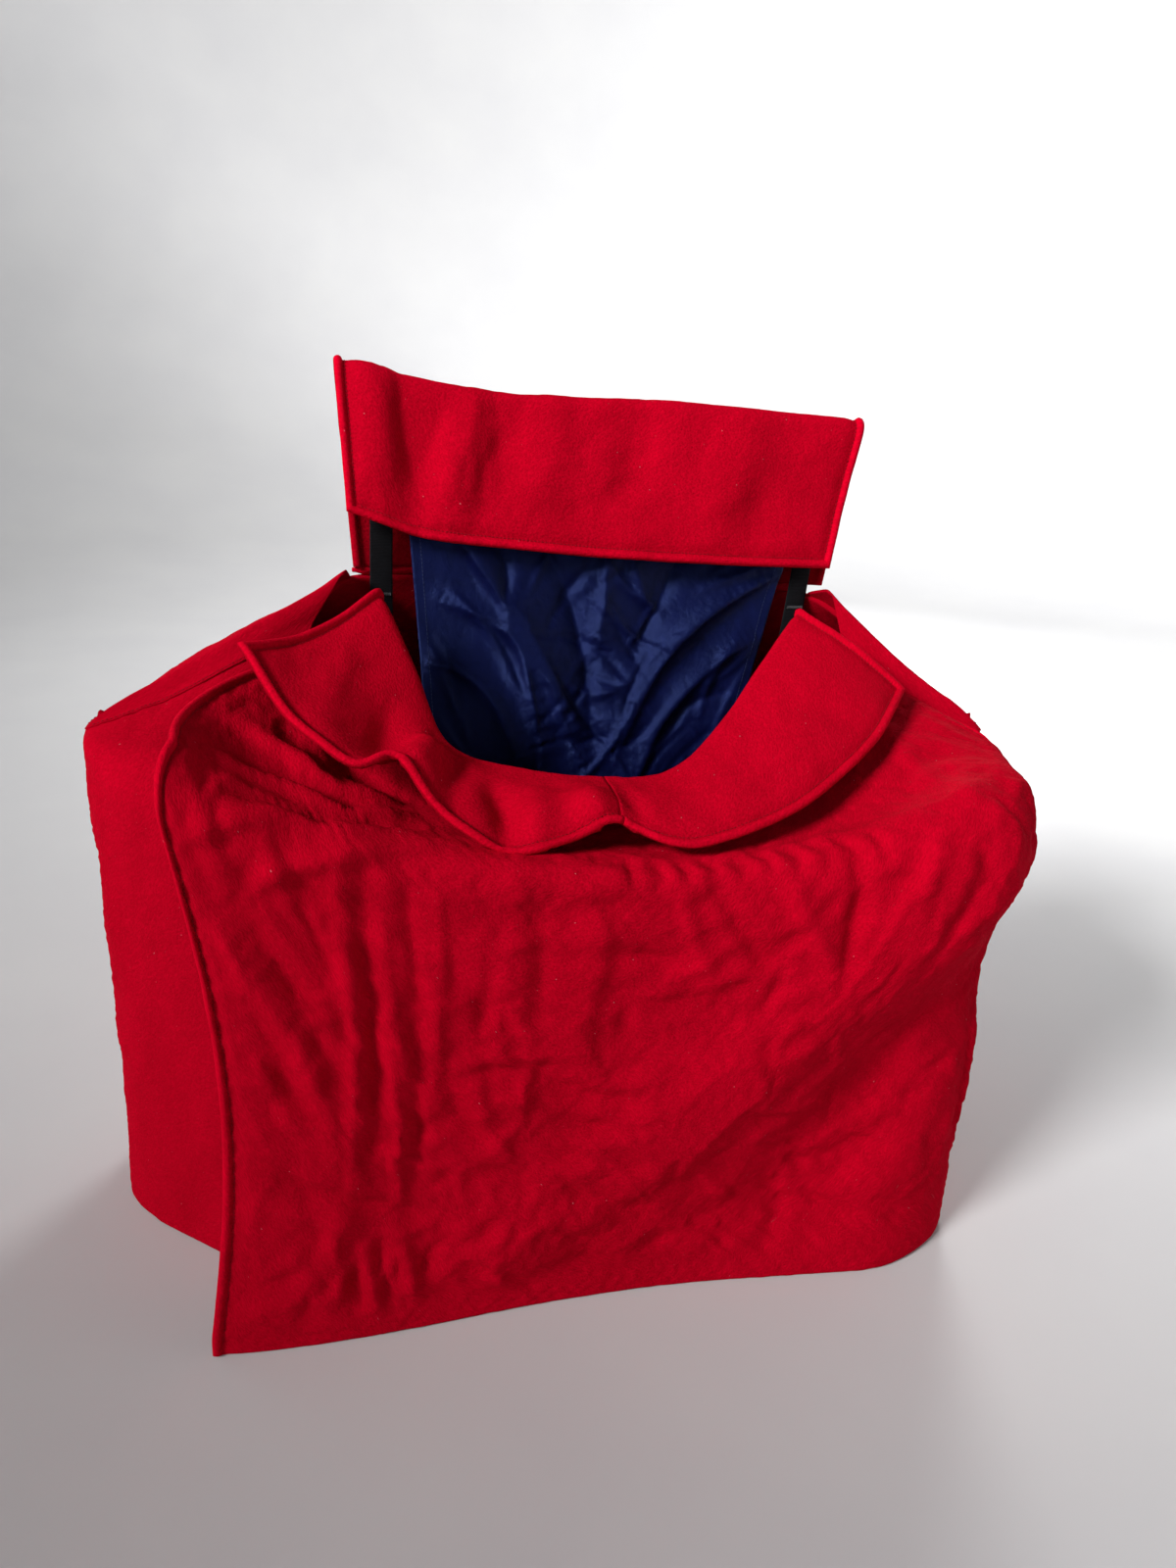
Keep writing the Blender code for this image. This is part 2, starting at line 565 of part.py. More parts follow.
def side_tapes():
    """Two hanging webbing tapes beside the liner, and the bar tacks that hold them."""
    for side, line in (("left", TAPE_LEFT_CM), ("right", TAPE_RIGHT_CM)):
        middle = line_of(line)
        half = Vector((TAPE_WIDTH / 2, 0, 0))
        grid = [[along(middle, j / TAPE_STEPS) + half * across for j in range(TAPE_STEPS + 1)]
                for across in (-1, 1)]
        layer(f"side_tape_{side}", grid, normals_of(grid), 0.0, WEBBING, "webbing")
        run = (middle[1] - middle[0]).normalized()
        in_front = Vector((0, SEAM_GAP + BAR_TACK_SIZE[1], 0))
        for k, level in enumerate(("upper", "lower")):
            place = middle[0] + run * (BAR_TACK_DROP + BAR_TACK_PITCH * k) - in_front
            bar_tack(f"bar_tack_{side}_{level}", place)


def main():
    for old in list(bpy.data.objects):
        bpy.data.objects.remove(old, do_unlink=True)
    front_joint = joint_empty("front_lift_axis", spot(FRONT_LIFT_AXIS_CM))
    fall_joint = joint_empty("back_fall_axis", spot(BACK_FALL_AXIS_CM))
    left_joint = joint_empty("collar_left_axis", spot(COLLAR_FOLD_CM[0]))
    right_joint = joint_empty("collar_right_axis", spot(COLLAR_FOLD_CM[-1]))
    back_panel()
    back_collar(fall_joint)
    front_panel(front_joint)
    front_collar(front_joint, left_joint, right_joint)
    liner()
    side_tapes()


main()
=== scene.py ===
import math

import bpy
import numpy as np
from mathutils import Matrix


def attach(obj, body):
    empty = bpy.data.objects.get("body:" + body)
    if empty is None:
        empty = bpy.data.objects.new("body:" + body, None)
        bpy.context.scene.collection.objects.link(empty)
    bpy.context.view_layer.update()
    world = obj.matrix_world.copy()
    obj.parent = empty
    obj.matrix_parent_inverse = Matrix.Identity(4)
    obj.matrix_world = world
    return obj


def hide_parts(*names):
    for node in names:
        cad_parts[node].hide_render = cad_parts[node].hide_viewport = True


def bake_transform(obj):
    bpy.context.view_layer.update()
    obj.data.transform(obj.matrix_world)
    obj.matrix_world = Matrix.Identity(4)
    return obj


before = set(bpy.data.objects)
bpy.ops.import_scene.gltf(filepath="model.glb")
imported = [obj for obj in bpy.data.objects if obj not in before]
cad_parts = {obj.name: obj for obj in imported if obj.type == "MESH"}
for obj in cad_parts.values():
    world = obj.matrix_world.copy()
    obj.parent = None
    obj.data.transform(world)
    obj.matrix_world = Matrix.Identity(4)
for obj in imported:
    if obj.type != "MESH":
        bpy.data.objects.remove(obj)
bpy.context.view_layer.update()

# The pattern, in centimetres, as in the CAD source. Each panel's stations are (end at the neck or shoulder,
# middle of the slope, knee, hem, sideways bow). The lines of the collars, seams, liner and tapes follow.
MIDDLE_CM = (0.0, 0.475, 0.0)
FRONT_STATIONS = [
    ((-21.6, 7.6, 65.6), (-36.2, -3.0, 64.0), (-41.4, -21.8, 62.4), (-39.4, -22.2), 2.8),
    ((-18.6, 1.2, 58.6), (-28.6, -10.0, 57.0), (-34.5, -22.2, 58.0), (-31.0, -22.4), 1.8),
    ((-15.8, -5.6, 52.6), (-21.5, -14.2, 53.4), (-26.0, -22.2, 54.6), (-22.0, -22.2), 0.8),
    ((-8.0, -9.2, 51.0), (-11.0, -15.6, 51.0), (-13.0, -21.6, 51.8), (-11.0, -21.4), 0.0),
    ((0.0, -10.2, 50.4), (0.0, -15.9, 50.2), (0.0, -21.2, 50.4), (0.0, -20.8), 0.0),
    ((8.0, -9.2, 50.7), (10.5, -15.6, 50.2), (12.0, -21.4, 50.4), (11.0, -21.0), 0.0),
    ((15.0, -4.2, 53.8), (20.5, -13.6, 51.6), (24.0, -22.0, 52.2), (22.0, -22.0), 0.0),
    ((21.6, 2.2, 58.6), (30.5, -9.6, 54.6), (36.0, -22.0, 55.2), (33.5, -22.4), 0.0),
    ((28.4, 8.0, 63.6), (37.0, -4.0, 57.6), (43.9, -17.8, 55.8), (42.4, -17.8), 0.0),
    ((38.0, 4.6, 60.8), (43.0, -2.2, 57.8), (47.4, -11.0, 55.6), (45.2, -10.8), 0.0),
    ((45.0, 0.8, 57.4), (46.8, -1.4, 56.8), (48.4, -4.0, 55.4), (46.2, -4.2), 0.0),
]
BACK_STATIONS = [
    ((-27.8, 9.2, 66.6), (-31.4, 0.0, 57.0), (-33.0, -12.0, 52.0), (-33.5, -13.0), 0.0),
    ((-34.4, 5.8, 64.6), (-37.0, -1.0, 58.6), (-41.0, -9.8, 55.4), (-40.0, -7.0), 0.0),
    ((-41.4, 3.2, 61.0), (-44.0, -1.4, 58.4), (-47.2, -4.8, 56.4), (-46.8, -0.6), 0.0),
    ((-49.0, 2.0, 58.4), (-49.4, 1.8, 58.0), (-50.0, 1.6, 57.4), (-49.8, 5.6), 0.0),
    ((-42.5, 5.9, 61.0), (-44.4, 8.6, 59.8), (-47.0, 12.4, 57.6), (-47.2, 14.8), 0.0),
    ((-35.0, 8.4, 65.0), (-37.4, 12.0, 63.8), (-40.4, 17.0, 61.0), (-41.6, 20.0), 0.0),
    ((-27.7, 11.8, 68.6), (-29.0, 14.8, 67.6), (-31.4, 19.4, 64.0), (-33.4, 22.2), 0.0),
    ((-23.3, 15.4, 70.6), (-23.4, 16.6, 68.0), (-23.8, 20.0, 62.0), (-24.4, 23.1), 0.0),
    ((-12.0, 17.9, 70.4), (-12.0, 18.4, 67.0), (-12.0, 20.6, 60.0), (-12.0, 23.4), 0.0),
    ((4.0, 18.3, 70.0), (4.0, 18.8, 66.6), (4.0, 20.8, 59.6), (4.0, 23.5), 0.0),
    ((20.0, 17.9, 69.4), (20.0, 18.4, 66.0), (20.0, 20.6, 59.2), (20.0, 23.4), 0.0),
    ((30.6, 15.4, 69.4), (30.8, 16.6, 66.8), (31.2, 20.0, 61.0), (30.8, 23.0), 0.0),
    ((35.0, 12.0, 67.2), (36.2, 14.8, 66.0), (38.0, 18.8, 62.0), (38.6, 21.4), 0.0),
    ((40.6, 8.6, 62.2), (42.4, 11.4, 61.0), (45.0, 15.2, 58.4), (45.4, 17.6), 0.0),
    ((44.9, 6.4, 58.8), (46.2, 8.2, 58.0), (48.4, 10.6, 56.0), (48.4, 12.4), 0.0),
    ((49.0, 3.0, 56.4), (49.4, 2.9, 56.0), (50.0, 2.8, 55.4), (49.8, 5.6), 0.0),
    ((44.6, 3.8, 57.2), (45.6, 0.6, 54.0), (46.0, -1.4, 51.4), (46.0, 0.6), 0.0),
    ((39.4, 6.6, 60.0), (39.0, 0.0, 53.0), (40.4, -6.4, 49.0), (40.4, -5.0), 0.0),
    ((34.4, 9.6, 62.6), (32.8, 2.4, 53.4), (34.0, -11.0, 48.0), (33.5, -12.0), 0.0),
]
NECK_LINE = [station[0] for station in BACK_STATIONS[7:12]]
SHOULDER_LEFT = [
    (-24.2, 11.5, 71.8), (-27.4, 10.5, 69.7), (-34.6, 7.1, 66.2), (-42.0, 4.6, 62.2), (-46.6, 2.9, 60.0),
]
SHOULDER_RIGHT = [
    (32.4, 11.9, 70.4), (34.4, 10.7, 68.2), (40.0, 7.5, 63.2), (44.6, 5.2, 59.8), (46.6, 4.1, 58.6),
]
BACK_FOLD = [
    (-25.0, 16.5, 93.4), (-13.8, 16.5, 91.6), (-5.2, 16.5, 90.8), (13.9, 16.5, 90.8), (36.0, 16.5, 90.0),
]
BACK_FALL_EDGE = [
    (-24.0, 12.0, 78.0), (-15.8, 11.8, 75.4), (-8.0, 11.8, 74.6), (8.0, 11.8, 73.5), (32.4, 12.0, 72.8),
]
COLLAR_FOLD = [
    (-20.5, 9.5, 70.0), (-17.55, 2.5, 63.4), (-14.6, -4.5, 56.8), (-7.5, -7.5, 55.3), (0.0, -8.5, 54.6),
    (7.5, -7.5, 55.0), (14.0, -3.0, 58.5), (20.6, 3.25, 63.5), (27.2, 9.5, 68.5),
]
COLLAR_EDGE = [
    (-34.9, -4.1, 67.8), (-29.4, -10.3, 63.3), (-21.4, -14.4, 59.3), (-11.5, -16.9, 53.8), (0.0, -17.6, 53.0),
    (9.0, -17.2, 53.0), (20.0, -14.5, 55.2), (30.0, -8.2, 58.8), (37.6, 0.0, 61.4),
]
LINER_LEFT = [
    (-18.0, 16.0, 86.0), (-17.4, 15.2, 78.0), (-16.4, 12.6, 66.0), (-15.8, 9.0, 55.0), (-15.4, 7.2, 45.0),
]
LINER_RIGHT = [
    (29.4, 16.0, 85.0), (28.4, 15.2, 77.5), (24.8, 12.6, 66.0), (21.2, 9.0, 55.0), (20.4, 7.2, 45.0),
]
TAPE_LEFT = [(-20.2, 15.0, 81.0), (-20.2, 14.2, 66.0), (-19.8, 13.6, 52.0)]
TAPE_RIGHT = [(30.2, 15.0, 80.0), (28.8, 14.0, 66.0), (27.4, 13.4, 52.0)]

# Cloth and trimmings, in metres.
PANEL_THICK = 0.0075
COLLAR_THICK = 0.0060
NYLON_THICK = 0.0012
KNEE_RADIUS = 0.050
HEM_TOP = 0.0225
HEM_ROUND = 0.005
FOOT = 0.0006
STEP = 0.0042
COLLAR_STEP = 0.0040
BEAD_RADIUS = 0.0046
GROOVE_AT = 0.0112
FIELD_RISE = 0.016
EDGE_STEPS = (
    0, 0.0004, 0.0012, 0.0024, 0.0038, 0.0052, 0.0066, 0.0079, 0.0088, 0.0096, 0.0104, 0.0112, 0.0121, 0.0132,
    0.0147, 0.0168, 0.0196, 0.0232,
)
GROOVE_LINE = EDGE_STEPS.index(GROOVE_AT)
STITCH = 0.0034
STITCH_PITCH = 0.0043
STITCH_RISE = 0.0003
THREAD_RADIUS = 0.00042
TACK_RADIUS = 0.0004
TACK_HALF_WIDTH = 0.0098
TACK_HALF_HEIGHT = 0.0016
TAPE_HALF_WIDTH = 0.0125
TAPE_THICK = 0.0016
HEADER_THICK = 0.0028
STRIP_THICK = 0.0036
SEAM_BEAD_RADIUS = 0.0052
SEAM_BEAD_SIDES = 14
PANEL_BEADS = (True, True, False, True)
NO_BEADS = (False,) * 4


# ---- grids of points

def spot(points_cm):
    return (np.array(points_cm, float) - MIDDLE_CM) / 100


def along(points, t):
    """Points at t, from 0 to 1, on a smooth curve through evenly numbered points or rows of points."""
    points, t = np.asarray(points, float), np.clip(np.atleast_1d(t), 0, 1)
    spans = len(points) - 1
    place = t * spans
    k = np.minimum(place.astype(int), spans - 1)
    s = (place - k).reshape(-1, *[1] * (points.ndim - 1))
    ends = np.concatenate([[2 * points[0] - points[1]], points, [2 * points[-1] - points[-2]]])
    a, b, c, d = ends[k], ends[k + 1], ends[k + 2], ends[k + 3]
    return (2 * b + (c - a) * s + (2 * a - 5 * b + 4 * c - d) * s**2 + (3 * b - a - 3 * c + d) * s**3) / 2


def unit(vectors):
    return vectors / np.maximum(np.linalg.norm(vectors, axis=-1, keepdims=True), 1e-12)


def lengths(grid, axis):
    """The length along one axis of a grid from its start to each point."""
    steps = np.linalg.norm(np.diff(grid, axis=axis), axis=-1)
    pad = [(0, 0)] * steps.ndim
    pad[axis] = (1, 0)
    return np.pad(np.cumsum(steps, axis=axis), pad)


def places_between(length, first, last, step):
    """Distances along an edge of that length: close together at its beaded ends, and even between."""
    start = list(EDGE_STEPS) if first else [0.0]
    end = [length - d for d in reversed(EDGE_STEPS)] if last else [length]
    count = max(2, round((end[0] - start[-1]) / step))
    return np.array(start[:-1] + list(np.linspace(start[-1], end[0], count + 1)) + end[1:])


def respaced(grid, first, last, step):
    """A grid with its first axis spaced anew by length, each line on its own length."""
    total = lengths(grid, 0)
    shape = places_between(float(np.median(total[-1])), first, last, step)
    near = len(EDGE_STEPS) if first else 1
    far = len(EDGE_STEPS) if last else 1
    made = np.zeros((len(shape), grid.shape[1], 3))
    share = np.linspace(0, 1, len(grid))
    for j in range(grid.shape[1]):
        own = total[-1, j]
        want = shape.copy()
        want[len(shape) - far:] += own - shape[-1]
        middle = np.linspace(want[near - 1], want[-far], len(shape) - near - far + 2)
        want[near - 1:len(shape) - far + 1] = middle
        made[:, j] = along(grid[:, j], np.interp(want, total[:, j], share))
    return made


def normals_of(grid, facing=1):
    across = np.gradient(grid, axis=0)
    down = np.gradient(grid, axis=1)
    return unit(np.cross(down, across)) * facing


def evened(lines, count):
    """Columns of points, (columns, some, 3), each with so many points evenly along its length."""
    total = lengths(lines, 1)
    made = np.zeros((len(lines), count, 3))
    for i, line in enumerate(lines):
        want = np.linspace(0, total[i, -1], count)
        for a in range(3):
            made[i, :, a] = np.interp(want, total[i], line[:, a])
    return made


def draped(stations, columns, rows):
    """A panel's outer face: down the shoulder slope, over a rounded knee, and down to the hem."""
    tops, middles, knees = (spot([s[k] for s in stations]) for k in range(3))
    hems = spot([(*s[3], 0.0) for s in stations])
    hems[:, 2] = HEM_TOP
    bows = np.array([(s[4] / 100, 0.0, 0.0) for s in stations])
    u = np.linspace(0, 1, columns)
    top, middle, knee, hem, bow = (along(p, u)[:, None] for p in (tops, middles, knees, hems, bows))
    reach = np.linalg.norm(middle - knee, axis=2, keepdims=True)
    radius = np.minimum(KNEE_RADIUS, reach * 0.6)
    above = knee + (middle - knee) / reach * radius
    below = knee + unit(hem - knee) * radius
    t = np.linspace(0, 1, 60)[None, :-1, None]
    slope = top * (1 - t) * (1 - 2 * t) + middle * 4 * t * (1 - t) + above * t * (2 * t - 1)
    turn = above * (1 - t) ** 2 + knee * 2 * t * (1 - t) + below * t**2
    s = np.linspace(0, 1, 120)[None, :, None]
    fall = below * (1 - s) + hem * s + bow * np.sin(np.pi * s)
    foot = hem * (1, 1, 0) + (0, 0, FOOT)
    return evened(np.concatenate([slope, turn, fall, foot], axis=1), rows)


# ---- folds and creases

def ripple(shape, cells, seed):
    """Smooth unevenness over a grid, mostly from -1 to 1, with so many swells across and down."""
    lattice = np.random.default_rng(seed).normal(size=(cells[0] + 1, cells[1] + 1)) * 0.6
    rows = along(lattice, np.linspace(0, 1, shape[0]))
    return along(rows.T, np.linspace(0, 1, shape[1])).T


def sampled(grid, shares):
    """The values of a grid at shares across and down, evenly between its points."""
    last = np.array(grid.shape[:2]) - 1
    place = np.clip(shares, 0, 1) * last
    i, j = np.minimum(place.astype(int), last - 1).T
    s, t = place[:, :1] - i[:, None], place[:, 1:] - j[:, None]
    near = grid[i, j] * (1 - t) + grid[i, j + 1] * t
    return near * (1 - s) + (grid[i + 1, j] * (1 - t) + grid[i + 1, j + 1] * t) * s


def fold(grid, normals, path, height, width, other_side=None, crisp=False):
    """How far one fold lifts each point of a grid. path is in shares across and down, and the fold dies
    away at both its ends. width is on the side to the right of its run, and other_side on its left."""
    shares = along(path, np.linspace(0, 1, 7 * len(path)))
    line, up = sampled(grid, shares), unit(sampled(normals, shares))
    run = unit(np.gradient(line, axis=0))
    side = np.cross(up, run)
    apart = grid[:, :, None, :] - line
    nearest = (apart**2).sum(-1).argmin(-1)
    offset = np.take_along_axis(apart, nearest[..., None, None], axis=2)[:, :, 0]
    across = (offset * side[nearest]).sum(-1)
    at_end = (nearest == 0) | (nearest == len(line) - 1)
    beyond = np.where(at_end, (offset * run[nearest]).sum(-1), 0.0)
    widths = np.where(across > 0, other_side or width, width)
    fade = np.sin(np.pi * (nearest + 0.6) / (len(line) + 0.2)) ** 0.7
    share = np.abs(across / widths)
    profile = np.exp(-np.sqrt(share**2 + 0.06) * 1.25) * 1.36 if crisp else np.exp(-(share**2))
    return height * fade * profile * np.exp(-((beyond / width) ** 2))


def folded(grid, normals, folds, crisp=False):
    """How far all the folds of a table lift each point of a grid. A row is a fold's height and its widths to
    the right and left of its run, in millimetres, then its path, in thousandths across and down."""
    lift = np.zeros(grid.shape[:2])
    for height, width, other, *path in folds:
        lift += fold(grid, normals, np.array(path) / 1000, height / 1000, width / 1000, other / 1000, crisp)
    return lift


def short_creases(grid, normals, count, region, angle, spread, length, height, width, seed):
    """Seeded short creases inside (u0, v0, u1, v1), lying about one angle in degrees from level."""
    rng = np.random.default_rng(seed)
    size = (lengths(grid, 0)[-1].mean(), lengths(grid, 1)[:, -1].mean())
    u0, v0, u1, v1 = region
    total = np.zeros(grid.shape[:2])
    for _ in range(count):
        u = rng.uniform(u0, u1)
        v = rng.uniform(v0, v1)
        turn = math.radians(rng.normal(angle, spread))
        reach = rng.uniform(0.5, 1.0) * length / 2
        step = (math.cos(turn) * reach / size[0], math.sin(turn) * reach / size[1])
        bend = rng.uniform(-0.25, 0.25)
        middle = (u + bend * step[1], v - bend * step[0])
        path = [(u - step[0], v - step[1]), middle, (u + step[0], v + step[1])]
        tall = height * rng.uniform(0.4, 1.0) * rng.choice([-1, 1])
        widths = width * rng.uniform(0.7, 1.3), width * rng.uniform(0.5, 1.0)
        total += fold(grid, normals, path, tall, *widths)
    return total


def settled(grid, hold, growth, frames, cap, bending):
    """The grid after a short cloth simulation. The cloth is a little larger than its place, so it wrinkles,
    and no point moves further than cap."""
    mesh = bpy.data.meshes.new("settling")
    mesh.from_pydata(grid.reshape(-1, 3).tolist(), [], grid_faces(*grid.shape[:2]))
    obj = linked("settling", mesh)
    group = obj.vertex_groups.new(name="hold")
    for k, weight in enumerate(hold.ravel()):
        group.add([k], float(weight), "REPLACE")
    cloth = obj.modifiers.new("settle", "CLOTH")
    cloth.collision_settings.use_collision = False
    cloth.point_cache.frame_end = frames
    settings = cloth.settings
    settings.quality = 5
    settings.vertex_group_mass = "hold"
    settings.shrink_min = -growth
    settings.bending_stiffness = bending
    settings.effector_weights.gravity = 0.2
    for k in range(1, frames + 1):
        bpy.context.scene.frame_set(k)
    evaluated = obj.evaluated_get(bpy.context.evaluated_depsgraph_get())
    flat = np.zeros(grid.size)
    evaluated.data.vertices.foreach_get("co", flat)
    bpy.data.objects.remove(obj)
    bpy.context.scene.frame_set(1)
    moved = flat.reshape(grid.shape) - grid
    far = np.linalg.norm(moved, axis=-1, keepdims=True)
    return grid + moved * cap / np.sqrt(cap**2 + far**2)


def edge_hold(shape, inside, rim):
    """Weights that hold a cloth's rim fully and its inside a little."""
    weights = np.full(shape, inside)
    weights[:rim] = weights[-rim:] = 1.0
    weights[:, :rim] = weights[:, -rim:] = 1.0
    return weights


def soften(values, times):
    """A grid of numbers or points, averaged with its neighbours."""
    for _ in range(times):
        padded = np.pad(values, [(1, 1), (1, 1)] + [(0, 0)] * (values.ndim - 2), mode="edge")
        across = 4 * values + padded[:-2, 1:-1] + padded[2:, 1:-1]
        values = (across + padded[1:-1, :-2] + padded[1:-1, 2:]) / 8
    return values


# ---- meshes

def linked(name, data):
    obj = bpy.data.objects.new(name, data)
    bpy.context.scene.collection.objects.link(obj)
    return obj


def grid_faces(columns, rows, start=0, flip=False):
    i, j = np.meshgrid(np.arange(columns - 1), np.arange(rows - 1), indexing="ij")
    a = (start + i * rows + j).ravel()
    quads = np.stack([a, a + 1, a + rows + 1, a + rows], axis=1)
    return (quads[:, ::-1] if flip else quads).tolist()


def half_thickness(across, down, beads, thick):
    """Half the cloth's thickness at each point, and its distance from the nearest beaded edge. From the edge
    there are a rounded bead, a stitched groove, then the field."""
    size = across[-1:], down[:, -1:]
    edges = across, size[0] - across, down, size[1] - down
    chosen = [d for d, on in zip(edges, beads) if on]
    away = np.minimum.reduce(chosen) if chosen else np.full(across.shape, 1.0)
    rise = np.clip(np.abs(away - GROOVE_AT) / FIELD_RISE, 0, 1)
    rise = rise * rise * (3 - 2 * rise)
    field = thick * (0.10 + 0.40 * rise**0.6)
    ring = np.sqrt(np.clip(BEAD_RADIUS**2 - (away - BEAD_RADIUS) ** 2, 1e-8, None))
    field = np.where(away < GROOVE_AT, thick * 0.10, field)
    return np.maximum(np.where(away < 2 * BEAD_RADIUS, ring, 0), field), away


def cloth_piece(name, outer, facing, beads, thick, cloth, inner_material, step=STEP, relief=None, plain_foot=False):
    """A closed piece of cloth under an outer face. beads says which of its edges (first column, last column,
    top, foot) are free and beaded, and a plain foot is only rounded. Returns the object and the points of its
    outer face."""
    grid = respaced(outer, beads[0], beads[1], step)
    grid = respaced(grid.transpose(1, 0, 2), beads[2], beads[3], step).transpose(1, 0, 2)
    normals = normals_of(grid, facing)
    across, down = lengths(grid, 0), lengths(grid, 1)
    half, away = half_thickness(across, down, beads[:3] + (beads[3] and not plain_foot,), thick)
    if plain_foot:
        round_off = 1 - np.clip((down[:, -1:] - down) / HEM_ROUND, 0, 1)
        half = half * np.sqrt(np.clip(1 - round_off**2, 0.02, 1))
    if relief is not None:
        grid = grid + normals * (relief(grid.shape[:2]) * np.clip((away - 0.012) / 0.02, 0, 1))[..., None]
        normals = normals_of(grid, facing)
    middle = grid - normals * thick / 2
    face, back = middle + normals * half[..., None], middle - normals * half[..., None]
    if plain_foot:
        face[..., 2], back[..., 2] = np.maximum(face[..., 2], FOOT), np.maximum(back[..., 2], FOOT)
    columns, rows = grid.shape[:2]
    points = np.concatenate([face.reshape(-1, 3), back.reshape(-1, 3)])
    flip = facing < 0
    faces = grid_faces(columns, rows, 0, flip) + grid_faces(columns, rows, columns * rows, not flip)
    rim = [i * rows for i in range(columns)]
    rim += [(columns - 1) * rows + j for j in range(1, rows)]
    rim += [i * rows + rows - 1 for i in range(columns - 2, -1, -1)]
    rim += [j for j in range(rows - 2, 0, -1)]
    under = columns * rows
    for here, following in zip(rim, rim[1:] + rim[:1]):
        quad = (here, following, under + following, under + here)
        faces.append(quad[::-1] if flip else quad)
    # The inner faces take the second material; for the red pieces that is the darker fleece copy, painted
    # shade on their inner side.
    obj = new_mesh(name, points, faces, [cloth, inner_material])
    quads = (columns - 1) * (rows - 1)
    index = np.zeros(len(faces), np.int32)
    index[quads:2 * quads] = 1
    obj.data.polygons.foreach_set("material_index", index)
    flat = np.stack([across, down, np.zeros_like(across)], axis=-1).reshape(-1, 3)
    write_attribute(obj, "flat", np.concatenate([flat, flat + (0, 0, 0.5)]))
    write_attribute(obj, "edge", np.concatenate([away.ravel()] * 2))
    return obj, face


def new_mesh(name, points, faces, materials):
    mesh = bpy.data.meshes.new(name)
    mesh.from_pydata(np.asarray(points).tolist(), [], faces)
    for material in materials:
        mesh.materials.append(material)
    mesh.shade_smooth()
    return linked(name, mesh)


def write_attribute(obj, name, values):
    values = np.asarray(values, np.float32)
    kind, key = ("FLOAT_VECTOR", "vector") if values.ndim == 2 else ("FLOAT", "value")
    obj.data.attributes.new(name, kind, "POINT").data.foreach_set(key, values.ravel())


def tube_points(line, radius, sides):
    """Points and faces of a round closed tube along a line; radius may vary along it."""
    line = np.asarray(line)
    run = unit(np.gradient(line, axis=0))
    reference = np.where(np.abs(run[:, 2:]) > 0.9, (1.0, 0.0, 0.0), (0.0, 0.0, 1.0))
    first = unit(np.cross(run, reference))
    second = np.cross(run, first)
    turn = np.linspace(0, 2 * np.pi, sides, endpoint=False)
    radius = np.broadcast_to(np.asarray(radius, float), len(line))[:, None, None]
    ring = first[:, None] * np.cos(turn)[None, :, None] + second[:, None] * np.sin(turn)[None, :, None]
    points = (line[:, None] + ring * radius).reshape(-1, 3)
    faces = []
    for i in range(len(line) - 1):
        for k in range(sides):
            m = (k + 1) % sides
            faces.append((i * sides + k, i * sides + m, (i + 1) * sides + m, (i + 1) * sides + k))
    faces.append(tuple(range(sides))[::-1])
    faces.append(tuple((len(line) - 1) * sides + k for k in range(sides)))
    return points, faces


def stitches(name, lines, material):
    """A row of separate lock stitches along each line of points, each line with its surface's normals."""
    points, faces = [], []
    rise = STITCH_RISE + THREAD_RADIUS * np.array([-1.2, 0.4, 0.4, -1.2])[:, None]
    for line, normals in lines:
        total = np.concatenate([[0], np.cumsum(np.linalg.norm(np.diff(line, axis=0), axis=1))])
        start = STITCH_PITCH
        while start + STITCH < total[-1] - STITCH_PITCH:
            t = start + STITCH * np.linspace(0, 1, 4)
            middle, normal = (np.stack([np.interp(t, total, some[:, a]) for a in range(3)], axis=1)
                              for some in (line, normals))
            some, these = tube_points(middle + normal * rise, THREAD_RADIUS * np.array([0.6, 1, 1, 0.6]), 5)
            faces += [tuple(k + len(points) * len(some) for k in f) for f in these]
            points.append(some)
            start += STITCH_PITCH
    return new_mesh(name, np.concatenate(points), faces, [material])


def groove_lines(face, facing, beads):
    """The stitch lines of a piece, with their normals. They run where its outer face is lowest beside each
    beaded edge, and end at the corners."""
    normals = normals_of(face, facing)
    g = GROOVE_LINE
    down = slice(g if beads[2] else 0, -g if beads[3] else None)
    across = slice(g if beads[0] else 0, -g if beads[1] else None)
    places = ((g, down), (-1 - g, down), (across, g), (across, -1 - g))
    return [(face[place], normals[place]) for place, on in zip(places, beads) if on]


def placed(piece, body, slot, *nodes):
    """Says which body a piece rides on and the CAD nodes that it stands for, which it hides. slot, the slot
    of its finish, is not used.
    """
    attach(piece, body)
    if nodes:
        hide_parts(*nodes)
    return piece


# ---- materials

